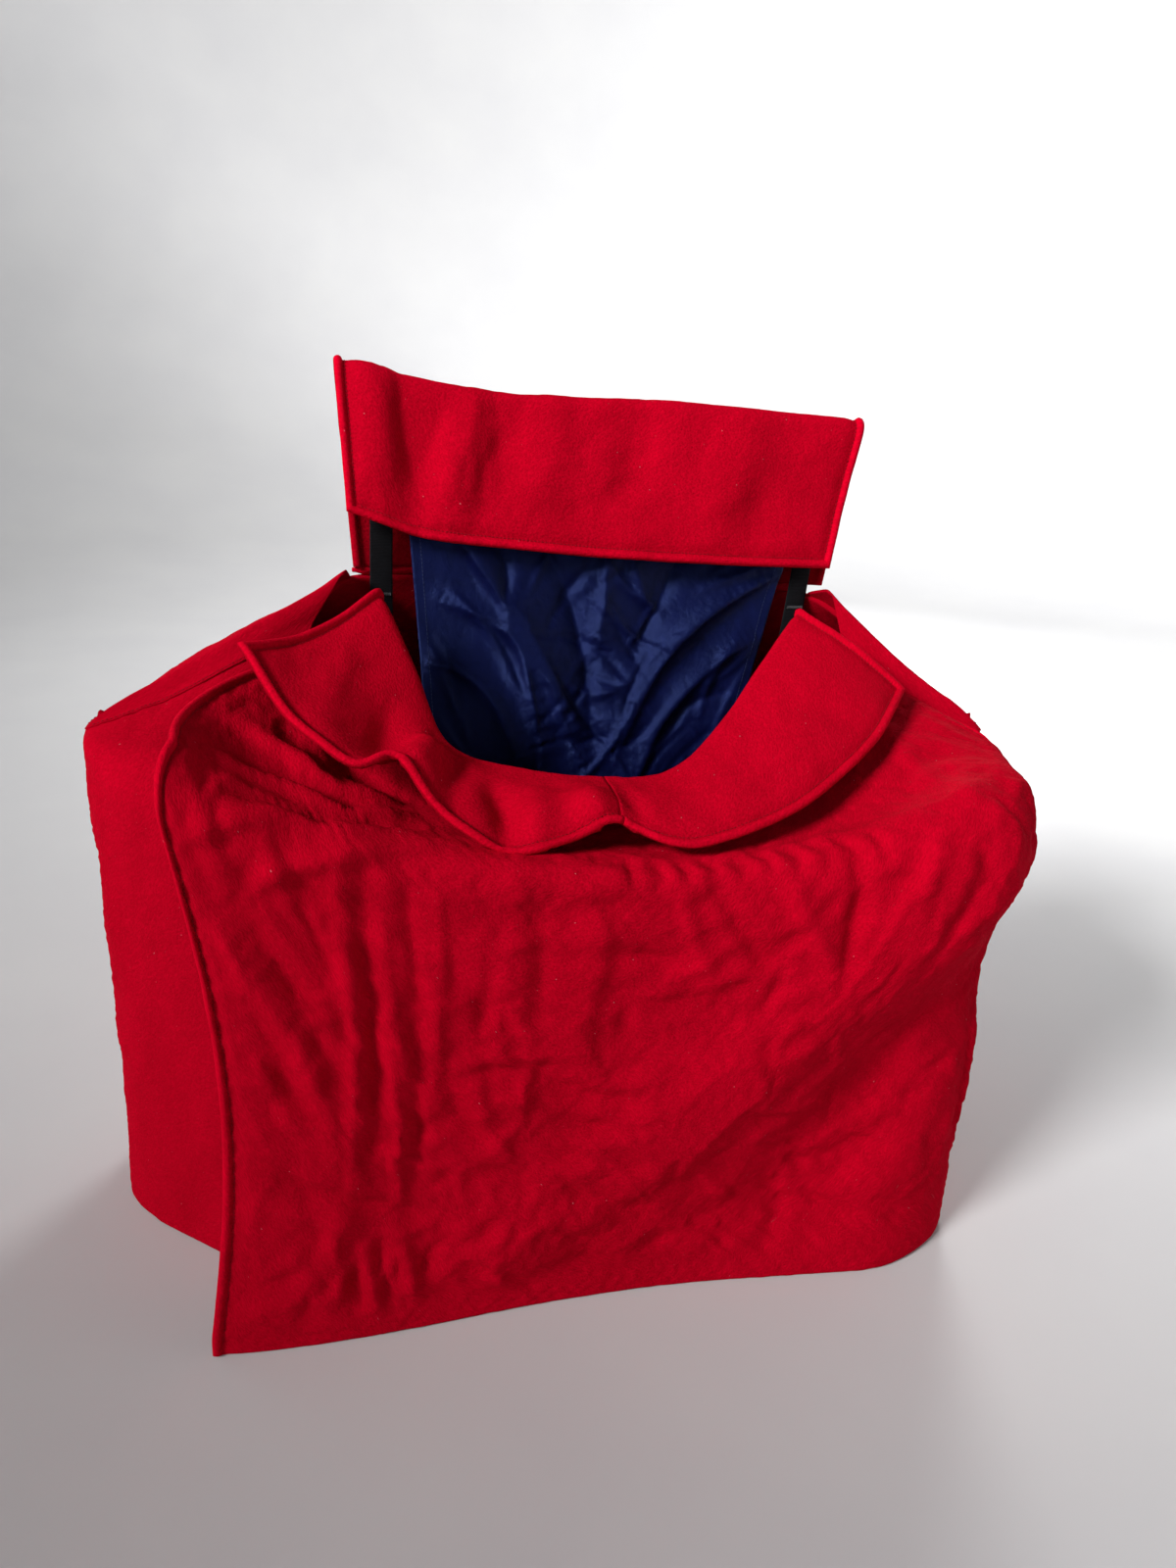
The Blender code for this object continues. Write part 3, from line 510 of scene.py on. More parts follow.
class Nodes:
    """Short calls to build one material's node tree."""

    def __init__(self, name):
        self.material = bpy.data.materials.new(name)
        self.material.use_nodes = True
        self.tree = self.material.node_tree
        self.shader = self.tree.nodes["Principled BSDF"]

    def add(self, kind, at=None, inputs=None, **settings):
        """A node at those coordinates, if any, with its sockets' values in inputs."""
        node = self.tree.nodes.new(kind)
        for key, value in settings.items():
            setattr(node, key, value)
        for key, value in (inputs or {}).items():
            node.inputs[key].default_value = value
        if at is not None:
            self.link(at, node.inputs["Vector"])
        return node

    def link(self, source, target):
        self.tree.links.new(source, target)

    def attribute(self, name):
        node = self.add("ShaderNodeAttribute", attribute_name=name)
        return node.outputs["Vector"] if name == "flat" else node.outputs["Fac"]

    def noise(self, at, scale, detail=2.0, rough=0.5, distortion=0.0):
        inputs = {"Scale": scale, "Detail": detail, "Roughness": rough, "Distortion": distortion}
        return self.add("ShaderNodeTexNoise", at, inputs).outputs["Fac"]

    def cells(self, at, scale):
        inputs = {"Scale": scale, "Smoothness": 0.6}
        return self.add("ShaderNodeTexVoronoi", at, inputs, feature="SMOOTH_F1").outputs["Distance"]

    def bands(self, at, scale, direction, distortion=0.0):
        inputs = {"Scale": scale, "Distortion": distortion}
        return self.add("ShaderNodeTexWave", at, inputs, bands_direction=direction).outputs["Fac"]

    def stretched(self, at, scale, angle=0.0):
        inputs = {"Scale": scale, "Rotation": (0, 0, math.radians(angle))}
        return self.add("ShaderNodeMapping", at, inputs).outputs["Vector"]

    def ramp(self, value, *stops):
        node = self.add("ShaderNodeValToRGB")
        elements = node.color_ramp.elements
        for element, (place, colour) in zip(elements, (stops[0], stops[-1])):
            element.position, element.color = place, (*colour, 1)
        for place, colour in stops[1:-1]:
            elements.new(place).color = (*colour, 1)
        self.link(value, node.inputs["Fac"])
        return node.outputs["Color"]

    def sum(self, *terms):
        """A weighted sum of (value, weight) pairs."""
        total = None
        for value, weight in terms:
            node = self.add("ShaderNodeMath", operation="MULTIPLY_ADD")
            self.link(value, node.inputs[0])
            node.inputs[1].default_value = weight
            node.inputs[2].default_value = 0.0
            if total is not None:
                self.link(total, node.inputs[2])
            total = node.outputs[0]
        return total

    def mix(self, a, b, share, kind="MIX"):
        node = self.add("ShaderNodeMix", data_type="RGBA", blend_type=kind)
        for socket, value in ((node.inputs[0], share), (node.inputs[6], a), (node.inputs[7], b)):
            if isinstance(value, (int, float)):
                socket.default_value = value
            elif isinstance(value, tuple):
                socket.default_value = (*value, 1)
            else:
                self.link(value, socket)
        return node.outputs[2]

    def colour(self, value):
        self.link(value, self.shader.inputs["Base Color"])

    def bump(self, height, distance, strength=1.0):
        node = self.add("ShaderNodeBump", inputs={"Distance": distance, "Strength": strength})
        self.link(height, node.inputs["Height"])
        self.link(node.outputs["Normal"], self.shader.inputs["Normal"])

    def surface(self, roughness, specular, sheen=0.0, sheen_roughness=0.5, tint=(1, 1, 1)):
        inputs = self.shader.inputs
        inputs["Roughness"].default_value = roughness
        inputs["Specular IOR Level"].default_value = specular
        inputs["Sheen Weight"].default_value = sheen
        inputs["Sheen Roughness"].default_value = sheen_roughness
        inputs["Sheen Tint"].default_value = (*tint, 1)


def fleece(name, light, dark):
    """Short-nap fleece: pebbled nap, loose fibres, broad brushing marks, a paler rolled bead along each
    beaded edge and painted shade in the stitched groove beside it.
    """
    n = Nodes(name)
    at = n.attribute("flat")
    pebble = n.cells(n.stretched(at, (1.0, 1.25, 1.0), 12), 330)
    fibre = n.noise(at, 1500, 3, 0.65)
    tufts = n.noise(at, 520, 2, 0.5, 0.6)
    brushed = n.noise(n.stretched(at, (1.0, 0.45, 1.0), 25), 26, 4, 0.6)
    patches = n.noise(at, 6, 3, 0.5)
    tone = n.sum((pebble, 0.30), (tufts, 0.42), (brushed, 0.32), (patches, 0.30))
    colour = n.ramp(tone, (0.38, dark), (0.86, light))
    # By distance from the nearest beaded edge: full colour on the rolled bead, darkest in the stitched groove
    # beside it, which is painted shade in the groove, and a little darker than the bead on the field.
    pale_bead_and_groove_shade = n.ramp(n.attribute("edge"), (0.0, (1, 1, 1)), (0.008, (0.55, 0.55, 0.55)),
                  (0.011, (0, 0, 0)), (0.02, (0.3, 0.3, 0.3)))
    colour = n.mix(n.mix(colour, (0.55, 0.50, 0.50), 1.0, "MULTIPLY"), colour, n.mix(pale_bead_and_groove_shade, (1, 1, 1), 0.45))
    lint = n.ramp(n.noise(at, 300, 0, 0.5), (0.872, (0, 0, 0)), (0.885, (0.4, 0.4, 0.4)))
    colour = n.mix(colour, (0.62, 0.24, 0.26), lint)
    n.colour(colour)
    n.bump(n.sum((pebble, -0.55), (fibre, 0.22), (tufts, 0.5)), 0.0011, 0.85)
    n.surface(0.95, 0.012, 0.06, 0.5, (0.9, 0.004, 0.02))
    return n.material


def nylon():
    """Thin coated nylon: fine plain weave, soft gloss, and small creases pressed in by packing, with painted
    light on their crests and painted shade in their hollows.
    """
    n = Nodes("navy_nylon")
    at = n.attribute("flat")
    weave = n.sum((n.bands(at, 520, "X"), 0.5), (n.bands(at, 520, "Y"), 0.5))
    creases = n.noise(n.stretched(at, (1.0, 0.6, 1.0), 35), 34, 3, 0.55, 0.8)
    crush = n.noise(at, 120, 2, 0.5, 0.4)
    # The colour rises with the crease and crush noise that also raises the bump, so the crests are painted
    # lighter and the hollows darker: painted light and shade.
    tone = n.sum((weave, 0.16), (creases, 0.55), (crush, 0.28))
    n.colour(n.ramp(tone, (0.32, (0.0012, 0.0018, 0.0180)), (0.72, (0.0034, 0.0052, 0.0420))))
    n.bump(n.sum((weave, 0.06), (creases, 0.75), (crush, 0.30)), 0.0035, 0.55)
    n.surface(0.38, 0.36, 0.0)
    n.shader.inputs["Specular Tint"].default_value = (0.22, 0.34, 1.0, 1)
    return n.material


def webbing():
    """Black ribbed webbing."""
    n = Nodes("black_webbing")
    at = n.attribute("flat")
    rib = n.bands(at, 190, "Y", 0.4)
    yarn = n.bands(n.stretched(at, (1, 1, 1), 45), 420, "X", 0.6)
    tone = n.sum((rib, 0.5), (yarn, 0.3), (n.noise(at, 60, 2), 0.3))
    n.colour(n.ramp(tone, (0.3, (0.0020, 0.0020, 0.0028)), (0.9, (0.0090, 0.0090, 0.0120))))
    n.bump(n.sum((rib, 0.7), (yarn, 0.35)), 0.0008, 0.9)
    n.surface(0.80, 0.08, 0.03, 0.5)
    return n.material


def thread(name, light, dark):
    """Twisted sewing thread."""
    n = Nodes(name)
    where = n.add("ShaderNodeTexCoord").outputs["Object"]
    twist = n.bands(n.stretched(where, (1, 1, 1), 40), 900, "DIAGONAL", 0.5)
    tone = n.sum((twist, 0.6), (n.noise(where, 90, 2), 0.4))
    n.colour(n.ramp(tone, (0.2, dark), (0.8, light)))
    n.bump(twist, 0.0002, 0.8)
    n.surface(0.7, 0.10, 0.0)
    return n.material


RED = fleece("red_fleece", (0.64, 0.0004, 0.0185), (0.36, 0.0002, 0.0085))
# A darker copy of the red fleece for the inner faces of the red pieces: painted shade on the side that faces
# inwards.
RED_PAINTED_SHADE = fleece("red_fleece_painted_shade", (0.40, 0.0004, 0.0115), (0.21, 0.0002, 0.0045))
NAVY = nylon()
BLACK = webbing()
RED_THREAD = thread("red_thread", (0.42, 0.006, 0.018), (0.20, 0.002, 0.008))
NAVY_THREAD = thread("navy_thread", (0.05, 0.07, 0.17), (0.015, 0.02, 0.07))
GREY_THREAD = thread("grey_thread", (0.36, 0.36, 0.38), (0.16, 0.16, 0.18))


# ---- the two panels

# The first three rows are the broad ridge, the hollow under it and a swell; the rest are creases.
FRONT_FOLDS = [
    (18, 75, 40, (940, 420), (800, 440), (620, 490), (500, 610), (400, 780), (220, 930)),
    (-40, 60, 170, (940, 570), (840, 580), (710, 650), (610, 770), (520, 940)),
    (8, 40, 40, (900, 680), (780, 740), (700, 840), (660, 960)),
    (12, 9, 15, (30, 210), (80, 190), (130, 170), (180, 100)),
    (11, 9, 15, (40, 290), (100, 240), (160, 200), (220, 100)),
    (-7, 7, 8, (50, 250), (100, 215), (150, 180), (190, 110)),
    (11, 10, 15, (40, 400), (120, 300), (180, 240), (250, 140)),
    (-6, 7, 8, (60, 330), (120, 275), (180, 225), (230, 140)),
    (9, 9, 13, (100, 400), (170, 300), (220, 230), (280, 140)),
    (-11, 12, 14, (60, 120), (120, 120), (190, 70)),
    (8, 7, 14, (190, 260), (186, 400), (183, 520), (170, 660), (160, 800)),
    (-6, 6, 7, (206, 280), (203, 420), (199, 560), (190, 700)),
    (5.6, 6, 8, (226, 240), (221, 400), (216, 550), (214, 700), (210, 800)),
    (-4.6, 6, 6, (243, 250), (240, 400), (235, 560), (230, 700)),
    (4, 7, 8, (262, 240), (258, 400), (252, 520), (250, 620)),
    (-3.4, 9, 10, (300, 300), (292, 440), (286, 580)),
    (-8.5, 6, 6, (188, 840), (193, 900), (202, 970)),
    (6, 8, 8, (172, 840), (178, 910), (184, 980)),
    (6, 8, 8, (212, 820), (220, 900), (228, 970)),
    (8.5, 9, 17, (530, 230), (550, 320), (580, 420)),
    (9.5, 10, 14, (660, 320), (630, 410), (600, 490)),
    (-8.5, 10, 10, (595, 260), (595, 360), (590, 450)),
    (-5.5, 10, 11, (470, 200), (500, 300), (530, 390)),
    (4.5, 11, 12, (440, 190), (455, 280), (480, 380)),
    (-6, 12, 12, (710, 360), (690, 440), (660, 500)),
    (4.5, 11, 14, (750, 360), (740, 420), (720, 470)),
    (4.6, 20, 14, (360, 170), (380, 300), (370, 460), (400, 600)),
    (-3.6, 12, 14, (330, 220), (335, 340), (330, 500)),
    (-6, 8, 9, (80, 765), (150, 775), (230, 785)),
    (4.5, 9, 10, (70, 800), (140, 810), (220, 820)),
    (5, 10, 10, (100, 600), (150, 620), (190, 600)),
    (7.5, 12, 14, (40, 500), (100, 550), (140, 640), (150, 740)),
    (-5.5, 9, 12, (60, 440), (110, 480), (150, 560)),
    (-9, 18, 26, (840, 550), (880, 660), (850, 800), (900, 940)),
    (4.5, 22, 26, (940, 400), (910, 550), (930, 720)),
    (6, 18, 18, (760, 700), (780, 800), (760, 920)),
    (-5, 14, 14, (560, 800), (580, 880), (570, 970)),
    (-4, 9, 10, (300, 160), (400, 155), (500, 170), (600, 240)),
    (-5.5, 14, 18, (660, 200), (740, 220), (840, 260)),
    (5.5, 14, 20, (600, 100), (700, 140), (820, 160)),
]
# The row of small dimples that the collar's pull makes along the front's knee, as shares across and down.
DIMPLES = [
    (0.400, 0.165), (0.425, 0.170), (0.447, 0.168), (0.472, 0.176), (0.497, 0.184),
    (0.520, 0.196), (0.545, 0.215), (0.570, 0.235), (0.594, 0.258), (0.615, 0.280),
]


def front_panel():
    base = draped(FRONT_STATIONS, 150, 110)
    normals = normals_of(base)
    lift = folded(base, normals, FRONT_FOLDS)
    for u, v in DIMPLES:
        lift += fold(base, normals, [(u, v - 0.028), (u + 0.003, v), (u, v + 0.030)], -0.0032, 0.0052)
        lift += fold(base, normals, [(u + 0.012, v - 0.020), (u + 0.014, v + 0.022)], 0.0016, 0.0056)
    lift += short_creases(base, normals, 70, (0.28, 0.30, 0.95, 0.95), 25, 45, 0.10, 0.0042, 0.010, 3)
    lift += short_creases(base, normals, 60, (0.03, 0.34, 0.32, 0.95), 80, 30, 0.09, 0.0044, 0.009, 4)
    lift += short_creases(base, normals, 40, (0.30, 0.50, 0.95, 0.95), 5, 22, 0.07, 0.0040, 0.008, 5)
    lift += 0.0040 * ripple(lift.shape, (9, 8), 6) + 0.0028 * ripple(lift.shape, (26, 22), 7)
    lift += 0.0018 * ripple(lift.shape, (44, 38), 9)
    from_right, foot = lengths(base[::-1], 0)[::-1], lengths(base[:, ::-1], 1)[:, ::-1]
    edge = np.minimum(lengths(base, 0), from_right)
    calm = np.clip(edge / 0.05, 0.25, 1) * np.clip(foot / 0.06, 0.15, 1)
    inward, outward = np.clip(from_right / 0.32, 0.10, 1), np.clip(from_right / 0.20, 0.4, 1)
    lift = lift * np.where(lift < 0, inward, outward)
    base = base + normals * (np.clip(lift, -0.042, 0.016) * calm)[..., None]
    base = settled(base, edge_hold(base.shape[:2], 0.50, 2), 0.015, 24, 0.0046, 0.9)
    panel, face = cloth_piece("front_panel", base, 1, PANEL_BEADS, PANEL_THICK, RED, RED_PAINTED_SHADE,
                              relief=lambda shape: 0.00035 * ripple(shape, (90, 80), 8), plain_foot=True)
    placed(panel, "front", "fleece", "front_shell", "front_wadding", "front_facing", "front_hem_binding",
           "front_piping_left", "front_piping_right")
    seam = stitches("front_panel_stitching", groove_lines(face, 1, PANEL_BEADS)[:2], RED_THREAD)
    placed(seam, "front", "thread")


BACK_FOLDS = [
    (-7, 22, 30, (160, 200), (170, 450), (160, 700), (170, 920)),
    (5, 20, 24, (120, 160), (130, 350), (110, 600), (120, 900)),
    (5, 20, 20, (200, 100), (210, 300), (200, 550)),
    (-6.5, 24, 30, (300, 120), (310, 400), (330, 750), (320, 960)),
    (6, 26, 22, (360, 60), (380, 350), (370, 600), (400, 900)),
    (-4.5, 20, 28, (450, 80), (440, 300), (460, 620)),
    (6, 30, 22, (530, 60), (520, 360), (540, 660), (520, 950)),
    (-5, 22, 22, (600, 80), (610, 360), (600, 600)),
    (5.5, 24, 30, (670, 100), (660, 400), (680, 720), (660, 960)),
    (-6, 22, 26, (750, 140), (760, 450), (750, 700), (770, 940)),
    (4.5, 20, 22, (820, 100), (830, 400), (820, 660)),
    (4, 22, 16, (400, 550), (500, 620), (600, 580)),
    (-3.5, 16, 14, (280, 400), (330, 460), (390, 440)),
]


def back_panel():
    base = draped(BACK_STATIONS, 230, 96)
    normals = normals_of(base, -1)
    lift = folded(base, normals, BACK_FOLDS)
    lift += short_creases(base, normals, 60, (0.10, 0.15, 0.90, 0.95), 70, 35, 0.11, 0.0024, 0.010, 13)
    lift += short_creases(base, normals, 40, (0.10, 0.15, 0.90, 0.95), 10, 25, 0.08, 0.0020, 0.009, 14)
    lift += 0.0026 * ripple(lift.shape, (14, 8), 16) + 0.0011 * ripple(lift.shape, (44, 20), 17)
    edge = np.minimum(lengths(base, 0), lengths(base[::-1], 0)[::-1])
    down = np.minimum(lengths(base, 1), lengths(base[:, ::-1], 1)[:, ::-1])
    calm = np.clip(edge / 0.30 - 0.35, 0.0, 1) * np.clip(down / 0.06, 0.1, 1)
    base = base + normals * (np.clip(1.6 * lift, -0.013, 0.009) * calm)[..., None]
    weights = edge_hold(base.shape[:2], 0.50, 2)
    weights[:26] = weights[-26:] = 1.0
    base = settled(base, weights, 0.015, 20, 0.005, 0.6)
    panel, face = cloth_piece("back_panel", base, -1, PANEL_BEADS, PANEL_THICK, RED, RED_PAINTED_SHADE, step=0.0058,
                              relief=lambda shape: 0.00035 * ripple(shape, (150, 70), 18), plain_foot=True)
    placed(panel, "back", "fleece", "back_shell", "back_wadding", "back_facing", "back_hem_binding",
           "back_wing_piping_left", "back_wing_piping_right")
    seam = stitches("back_panel_stitching", groove_lines(face, -1, PANEL_BEADS)[:2], RED_THREAD)
    placed(seam, "back", "thread")
    return base


# ---- the collars

def smooth_line(parts, count):
    """Columns of points through several parts, each (columns, some, 3), evened out and rounded."""
    made = evened(np.concatenate(parts, axis=1), count)
    for _ in range(4):
        made[:, 1:-1] = (made[:, :-2] + 2 * made[:, 1:-1] + made[:, 2:]) / 4
    return made


def bezier(a, b, c, d, count):
    t = np.linspace(0, 1, count)[None, :, None]
    return a * (1 - t) ** 3 + b * 3 * t * (1 - t) ** 2 + c * 3 * t**2 * (1 - t) + d * t**3


def straight(a, b, count):
    t = np.linspace(0, 1, count)[None, :, None]
    return a * (1 - t) + b * t


BACK_COLLAR_FOLDS = [
    (-14, 20, 34, (170, 500), (180, 660), (200, 820), (220, 970)),
    (7, 22, 26, (80, 520), (100, 680), (110, 900)),
    (8, 36, 26, (300, 550), (360, 720), (400, 920)),
    (-6, 26, 30, (460, 530), (470, 720), (450, 940)),
    (6, 36, 26, (550, 550), (570, 720), (540, 920)),
    (-6, 30, 26, (680, 540), (700, 740), (670, 950)),
    (8, 36, 30, (840, 540), (850, 720), (820, 920)),
    (4, 26, 22, (200, 60), (240, 220), (220, 420)),
    (4, 26, 26, (620, 60), (580, 240), (600, 420)),
    (-3.5, 22, 22, (800, 100), (840, 250), (820, 400)),
]


def back_collar():
    u = np.linspace(0, 1, 130)
    neck = along(spot(NECK_LINE), u)[:, None]
    top = along(spot(BACK_FOLD), u)[:, None]
    edge = along(spot(BACK_FALL_EDGE), u)[:, None]
    behind, ahead = top + (0, 0.012, -0.013), top + (0, -0.0085, -0.013)
    rightmost, corner = (np.clip((u - start) / (1 - start), 0, 1)[:, None, None] for start in (0.7, 0.86))
    neck = neck + (0, 0.001, 0.009) + np.array((0.022, 0, 0)) * rightmost**2
    edge = edge + np.array((0, 0.010, 0)) * corner**1.6
    rise = np.array((0, 0, 0.017))
    base = smooth_line([
        straight(neck, behind, 30)[:, :-1],
        bezier(behind, behind + rise, ahead + rise, ahead, 20)[:, :-1],
        straight(ahead, edge, 30),
    ], 84)
    normals = normals_of(base)
    lift = folded(base, normals, BACK_COLLAR_FOLDS)
    lift += short_creases(base, normals, 26, (0.04, 0.55, 0.96, 0.95), 35, 40, 0.07, 0.0011, 0.008, 23)
    lift += 0.0022 * ripple(lift.shape, (7, 6), 26) + 0.0007 * ripple(lift.shape, (30, 18), 27)
    down_share = np.arange(base.shape[1]) / (base.shape[1] - 1)
    room = np.clip((down_share - 0.56) * 0.036, 0.001, 0.014)
    lift = np.maximum(lift * np.clip(np.abs(down_share - 0.5) / 0.12, 0.35, 1), -room)
    base = base + normals * lift[..., None]
    collar, face = cloth_piece("back_collar", base, 1, PANEL_BEADS, COLLAR_THICK, RED, RED_PAINTED_SHADE,
                               step=COLLAR_STEP, relief=lambda shape: 0.00025 * ripple(shape, (90, 50), 28))
    seam = stitches("back_collar_stitching", groove_lines(face, 1, PANEL_BEADS), RED_THREAD)
    for piece, cloth in ((collar, "fleece"), (seam, "thread")):
        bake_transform(piece)
    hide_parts("back_collar_stand", "back_collar_interlining", "back_collar_facing",
                "back_collar_piping_left", "back_collar_piping_right", "back_fall_shell",
                "back_fall_interlining", "back_fall_facing", "back_fall_piping")


# How far the front collar's free edge hangs below its even line, in centimetres, evenly along it. It buckles
# at the left front corner and stands up in a small tent at the middle of the front.
COLLAR_SAG_CM = (
    0.0, 0.9, 2.0, 2.3, 2.2, -0.9, 1.5, 2.5, 2.3, 0.7, -0.6,
    1.0, 1.8, 1.7, 1.5, 1.2, 0.9, 0.8, 0.6, 0.2, 0.0,
)
COLLAR_FOLDS = [
    (-12, 16, 12, (340, 550), (370, 750), (375, 980)),
    (7, 14, 20, (400, 500), (405, 750), (410, 980)),
    (15, 22, 22, (460, 600), (470, 780), (475, 990)),
    (-5, 12, 12, (520, 550), (525, 750), (530, 970)),
    (7, 22, 18, (60, 500), (90, 700), (140, 920)),
    (-11, 20, 22, (150, 460), (190, 660), (230, 950)),
    (12, 14, 18, (220, 460), (250, 660), (270, 970)),
    (-8, 14, 16, (280, 460), (300, 660), (310, 970)),
    (4, 30, 24, (660, 500), (680, 700), (700, 920)),
    (-3.5, 26, 26, (820, 500), (860, 700), (880, 920)),
]


def front_collar():
    t = np.linspace(0, 1, 240)
    seam_line = along(spot([s[0] for s in FRONT_STATIONS[:9]]), t)[:, None]
    turn = along(spot(COLLAR_FOLD), t)[:, None]
    edge = along(spot(COLLAR_EDGE), t)[:, None]
    out, down = unit(edge - turn), unit(seam_line - turn)
    rise = np.array((0, 0, 0.007))
    inside = turn + down * 0.014 - out * 0.001
    outside = turn + out * 0.014 + rise
    start = turn + down * 0.99 * np.linalg.norm(seam_line - turn, axis=2, keepdims=True)
    corner = turn + rise * 1.3
    s = np.linspace(0, 1, 40)[None, :, None]
    sag = along(np.array(COLLAR_SAG_CM)[:, None] / 100, t)[:, None]
    cup = 1 - 3.2 * np.clip(1 - t / 0.26, 0, 1)[:, None, None] ** 0.5
    fall = outside * (1 - s) + edge * s + rise * cup * np.sin(np.pi * s) - sag * s**1.6 * (0, 0.7, 0.8)
    base = smooth_line([
        straight(start, inside, 12)[:, :-1],
        bezier(inside, corner - out * 0.001, corner, outside, 16)[:, :-1],
        fall,
    ], 64)
    normals = normals_of(base)
    lift = folded(base, normals, COLLAR_FOLDS)
    lift += short_creases(base, normals, 22, (0.03, 0.45, 0.97, 0.95), 80, 30, 0.05, 0.0010, 0.006, 33)
    lift += 0.0018 * ripple(lift.shape, (14, 4), 36) + 0.0006 * ripple(lift.shape, (50, 14), 37)
    row = np.arange(base.shape[1]) / (base.shape[1] - 1)
    base = base + normals * (lift * np.clip((row - 0.2) / 0.2, 0.1, 1))[..., None]
    middle = len(base) // 2
    halves = (
        ("collar_left", base[:middle + 1], (True, False, False, True),
         (-0.871, -0.477, 0.116), COLLAR_FOLD[0], 0.020, 0.060),
        ("collar_right", base[middle:], (False, True, False, True),
         (0.770, -0.510, -0.378), COLLAR_FOLD[-1], 0.040, 0.085),
    )
    for name, grid, beads, outward, corner_cm, start_at, end_at in halves:
        piece, face = cloth_piece(f"front_{name}", grid, 1, beads, COLLAR_THICK, RED, RED_PAINTED_SHADE,
                                  step=COLLAR_STEP)
        seam = stitches(f"front_{name}_stitching", groove_lines(face, 1, beads), RED_THREAD)
        for part, cloth in ((piece, "fleece"), (seam, "thread")):
            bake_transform(part)
        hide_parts(f"{name}_shell", f"{name}_facing", f"{name}_piping", "front_collar_stand",
                    "front_collar_stand_facing", "collar_middle_shell", "collar_middle_facing",
                    "collar_middle_piping")


# ---- seams, liner and tapes

def neck_seam():
    """A fleece-covered bead along the neck seam, slightly uneven and tapered at its ends."""
    radius, sides = SEAM_BEAD_RADIUS, SEAM_BEAD_SIDES
    t = np.linspace(0, 1, 160)
    line = along(spot([(x, y, z + 0.6) for x, y, z in NECK_LINE]), t)
    taper = np.clip(np.minimum(t, 1 - t) / 0.03, 0.25, 1) ** 0.5
    points, faces = tube_points(line, radius * taper * (1 + 0.05 * np.sin(t * 60)), sides)
    obj = new_mesh("neck_seam", points, faces, [RED])
    across = np.tile(np.arange(sides) * 2 * math.pi * radius / sides, len(t))
    run = np.repeat(lengths(line[:, None], 0)[:, 0], sides)
    write_attribute(obj, "flat", np.stack([across, run, np.full(len(run), 0.3)], axis=1))
    write_attribute(obj, "edge", np.full(len(run), 0.004))
    placed(obj, "back", "webbing", "neck_tape")


def shoulder_strip(side, crest_cm, outer, inner, base):
    """The strip sewn over one shoulder: from the back of the shoulder over its crest to the wing in front.
    outer and inner are the back panel's shares across, from the neck to the tip of the shoulder."""
    t = np.linspace(0, 1, 90)
    normals = normals_of(base, -1)
    last = len(base) - 1

    def edge(shares, row):
        index = np.rint((shares[0] + (shares[1] - shares[0]) * t) * last).astype(int)
        return (base[index, row] + normals[index, row] * 0.0016)[:, None]

    crest = along(spot(crest_cm), t)[:, None] + (0, 0, 0.003)
    tip = np.clip((t - 0.86) / 0.14, 0, 1)[:, None, None] ** 2
    crest = crest * (1 - tip * 0.6) + edge(outer, 0) * tip * 0.6
    grid = smooth_line([
        straight(edge(outer, 2), edge(outer, 0), 6)[:, :-1],
        straight(edge(outer, 0), crest, 12)[:, :-1],
        straight(crest, edge(inner, 0), 12)[:, :-1],
        straight(edge(inner, 0), edge(inner, 2), 6),
    ], 40)
    grid = soften(grid, 3)
    facing = 1 if side == "right" else -1
    strip, face = cloth_piece(f"shoulder_strip_{side}", grid, facing, NO_BEADS, STRIP_THICK, RED, RED_PAINTED_SHADE,
                              step=0.0022)
    placed(strip, "back", "piping", f"shoulder_piping_{side}")
    normals = normals_of(face, facing)
    seam = stitches(f"shoulder_stitching_{side}", [(face[:, k], normals[:, k]) for k in (2, -3)], RED_THREAD)
    placed(seam, "back", "thread")


LINER_FOLDS = [
    (16, 8, 30, (20, 220), (140, 340), (260, 500), (360, 800)),
    (13, 8, 26, (60, 440), (220, 500), (360, 620), (500, 860)),
    (-12, 18, 10, (280, 260), (400, 400), (480, 580), (540, 820)),
    (10, 6, 22, (440, 220), (500, 360), (510, 560)),
    (15, 26, 8, (970, 380), (820, 470), (700, 600), (600, 820)),
    (11, 22, 8, (990, 520), (860, 600), (740, 740), (660, 920)),
    (-11, 14, 10, (760, 240), (680, 400), (620, 580)),
    (9, 10, 18, (780, 220), (900, 320), (990, 360)),
    (12, 8, 20, (10, 580), (120, 610), (220, 700), (300, 880)),
    (7, 7, 12, (400, 620), (520, 660), (640, 620)),
    (-9, 12, 8, (180, 220), (240, 360), (230, 480)),
    (9, 7, 16, (540, 260), (600, 400), (680, 480)),
    (-6, 10, 10, (340, 720), (460, 780), (600, 760)),
]


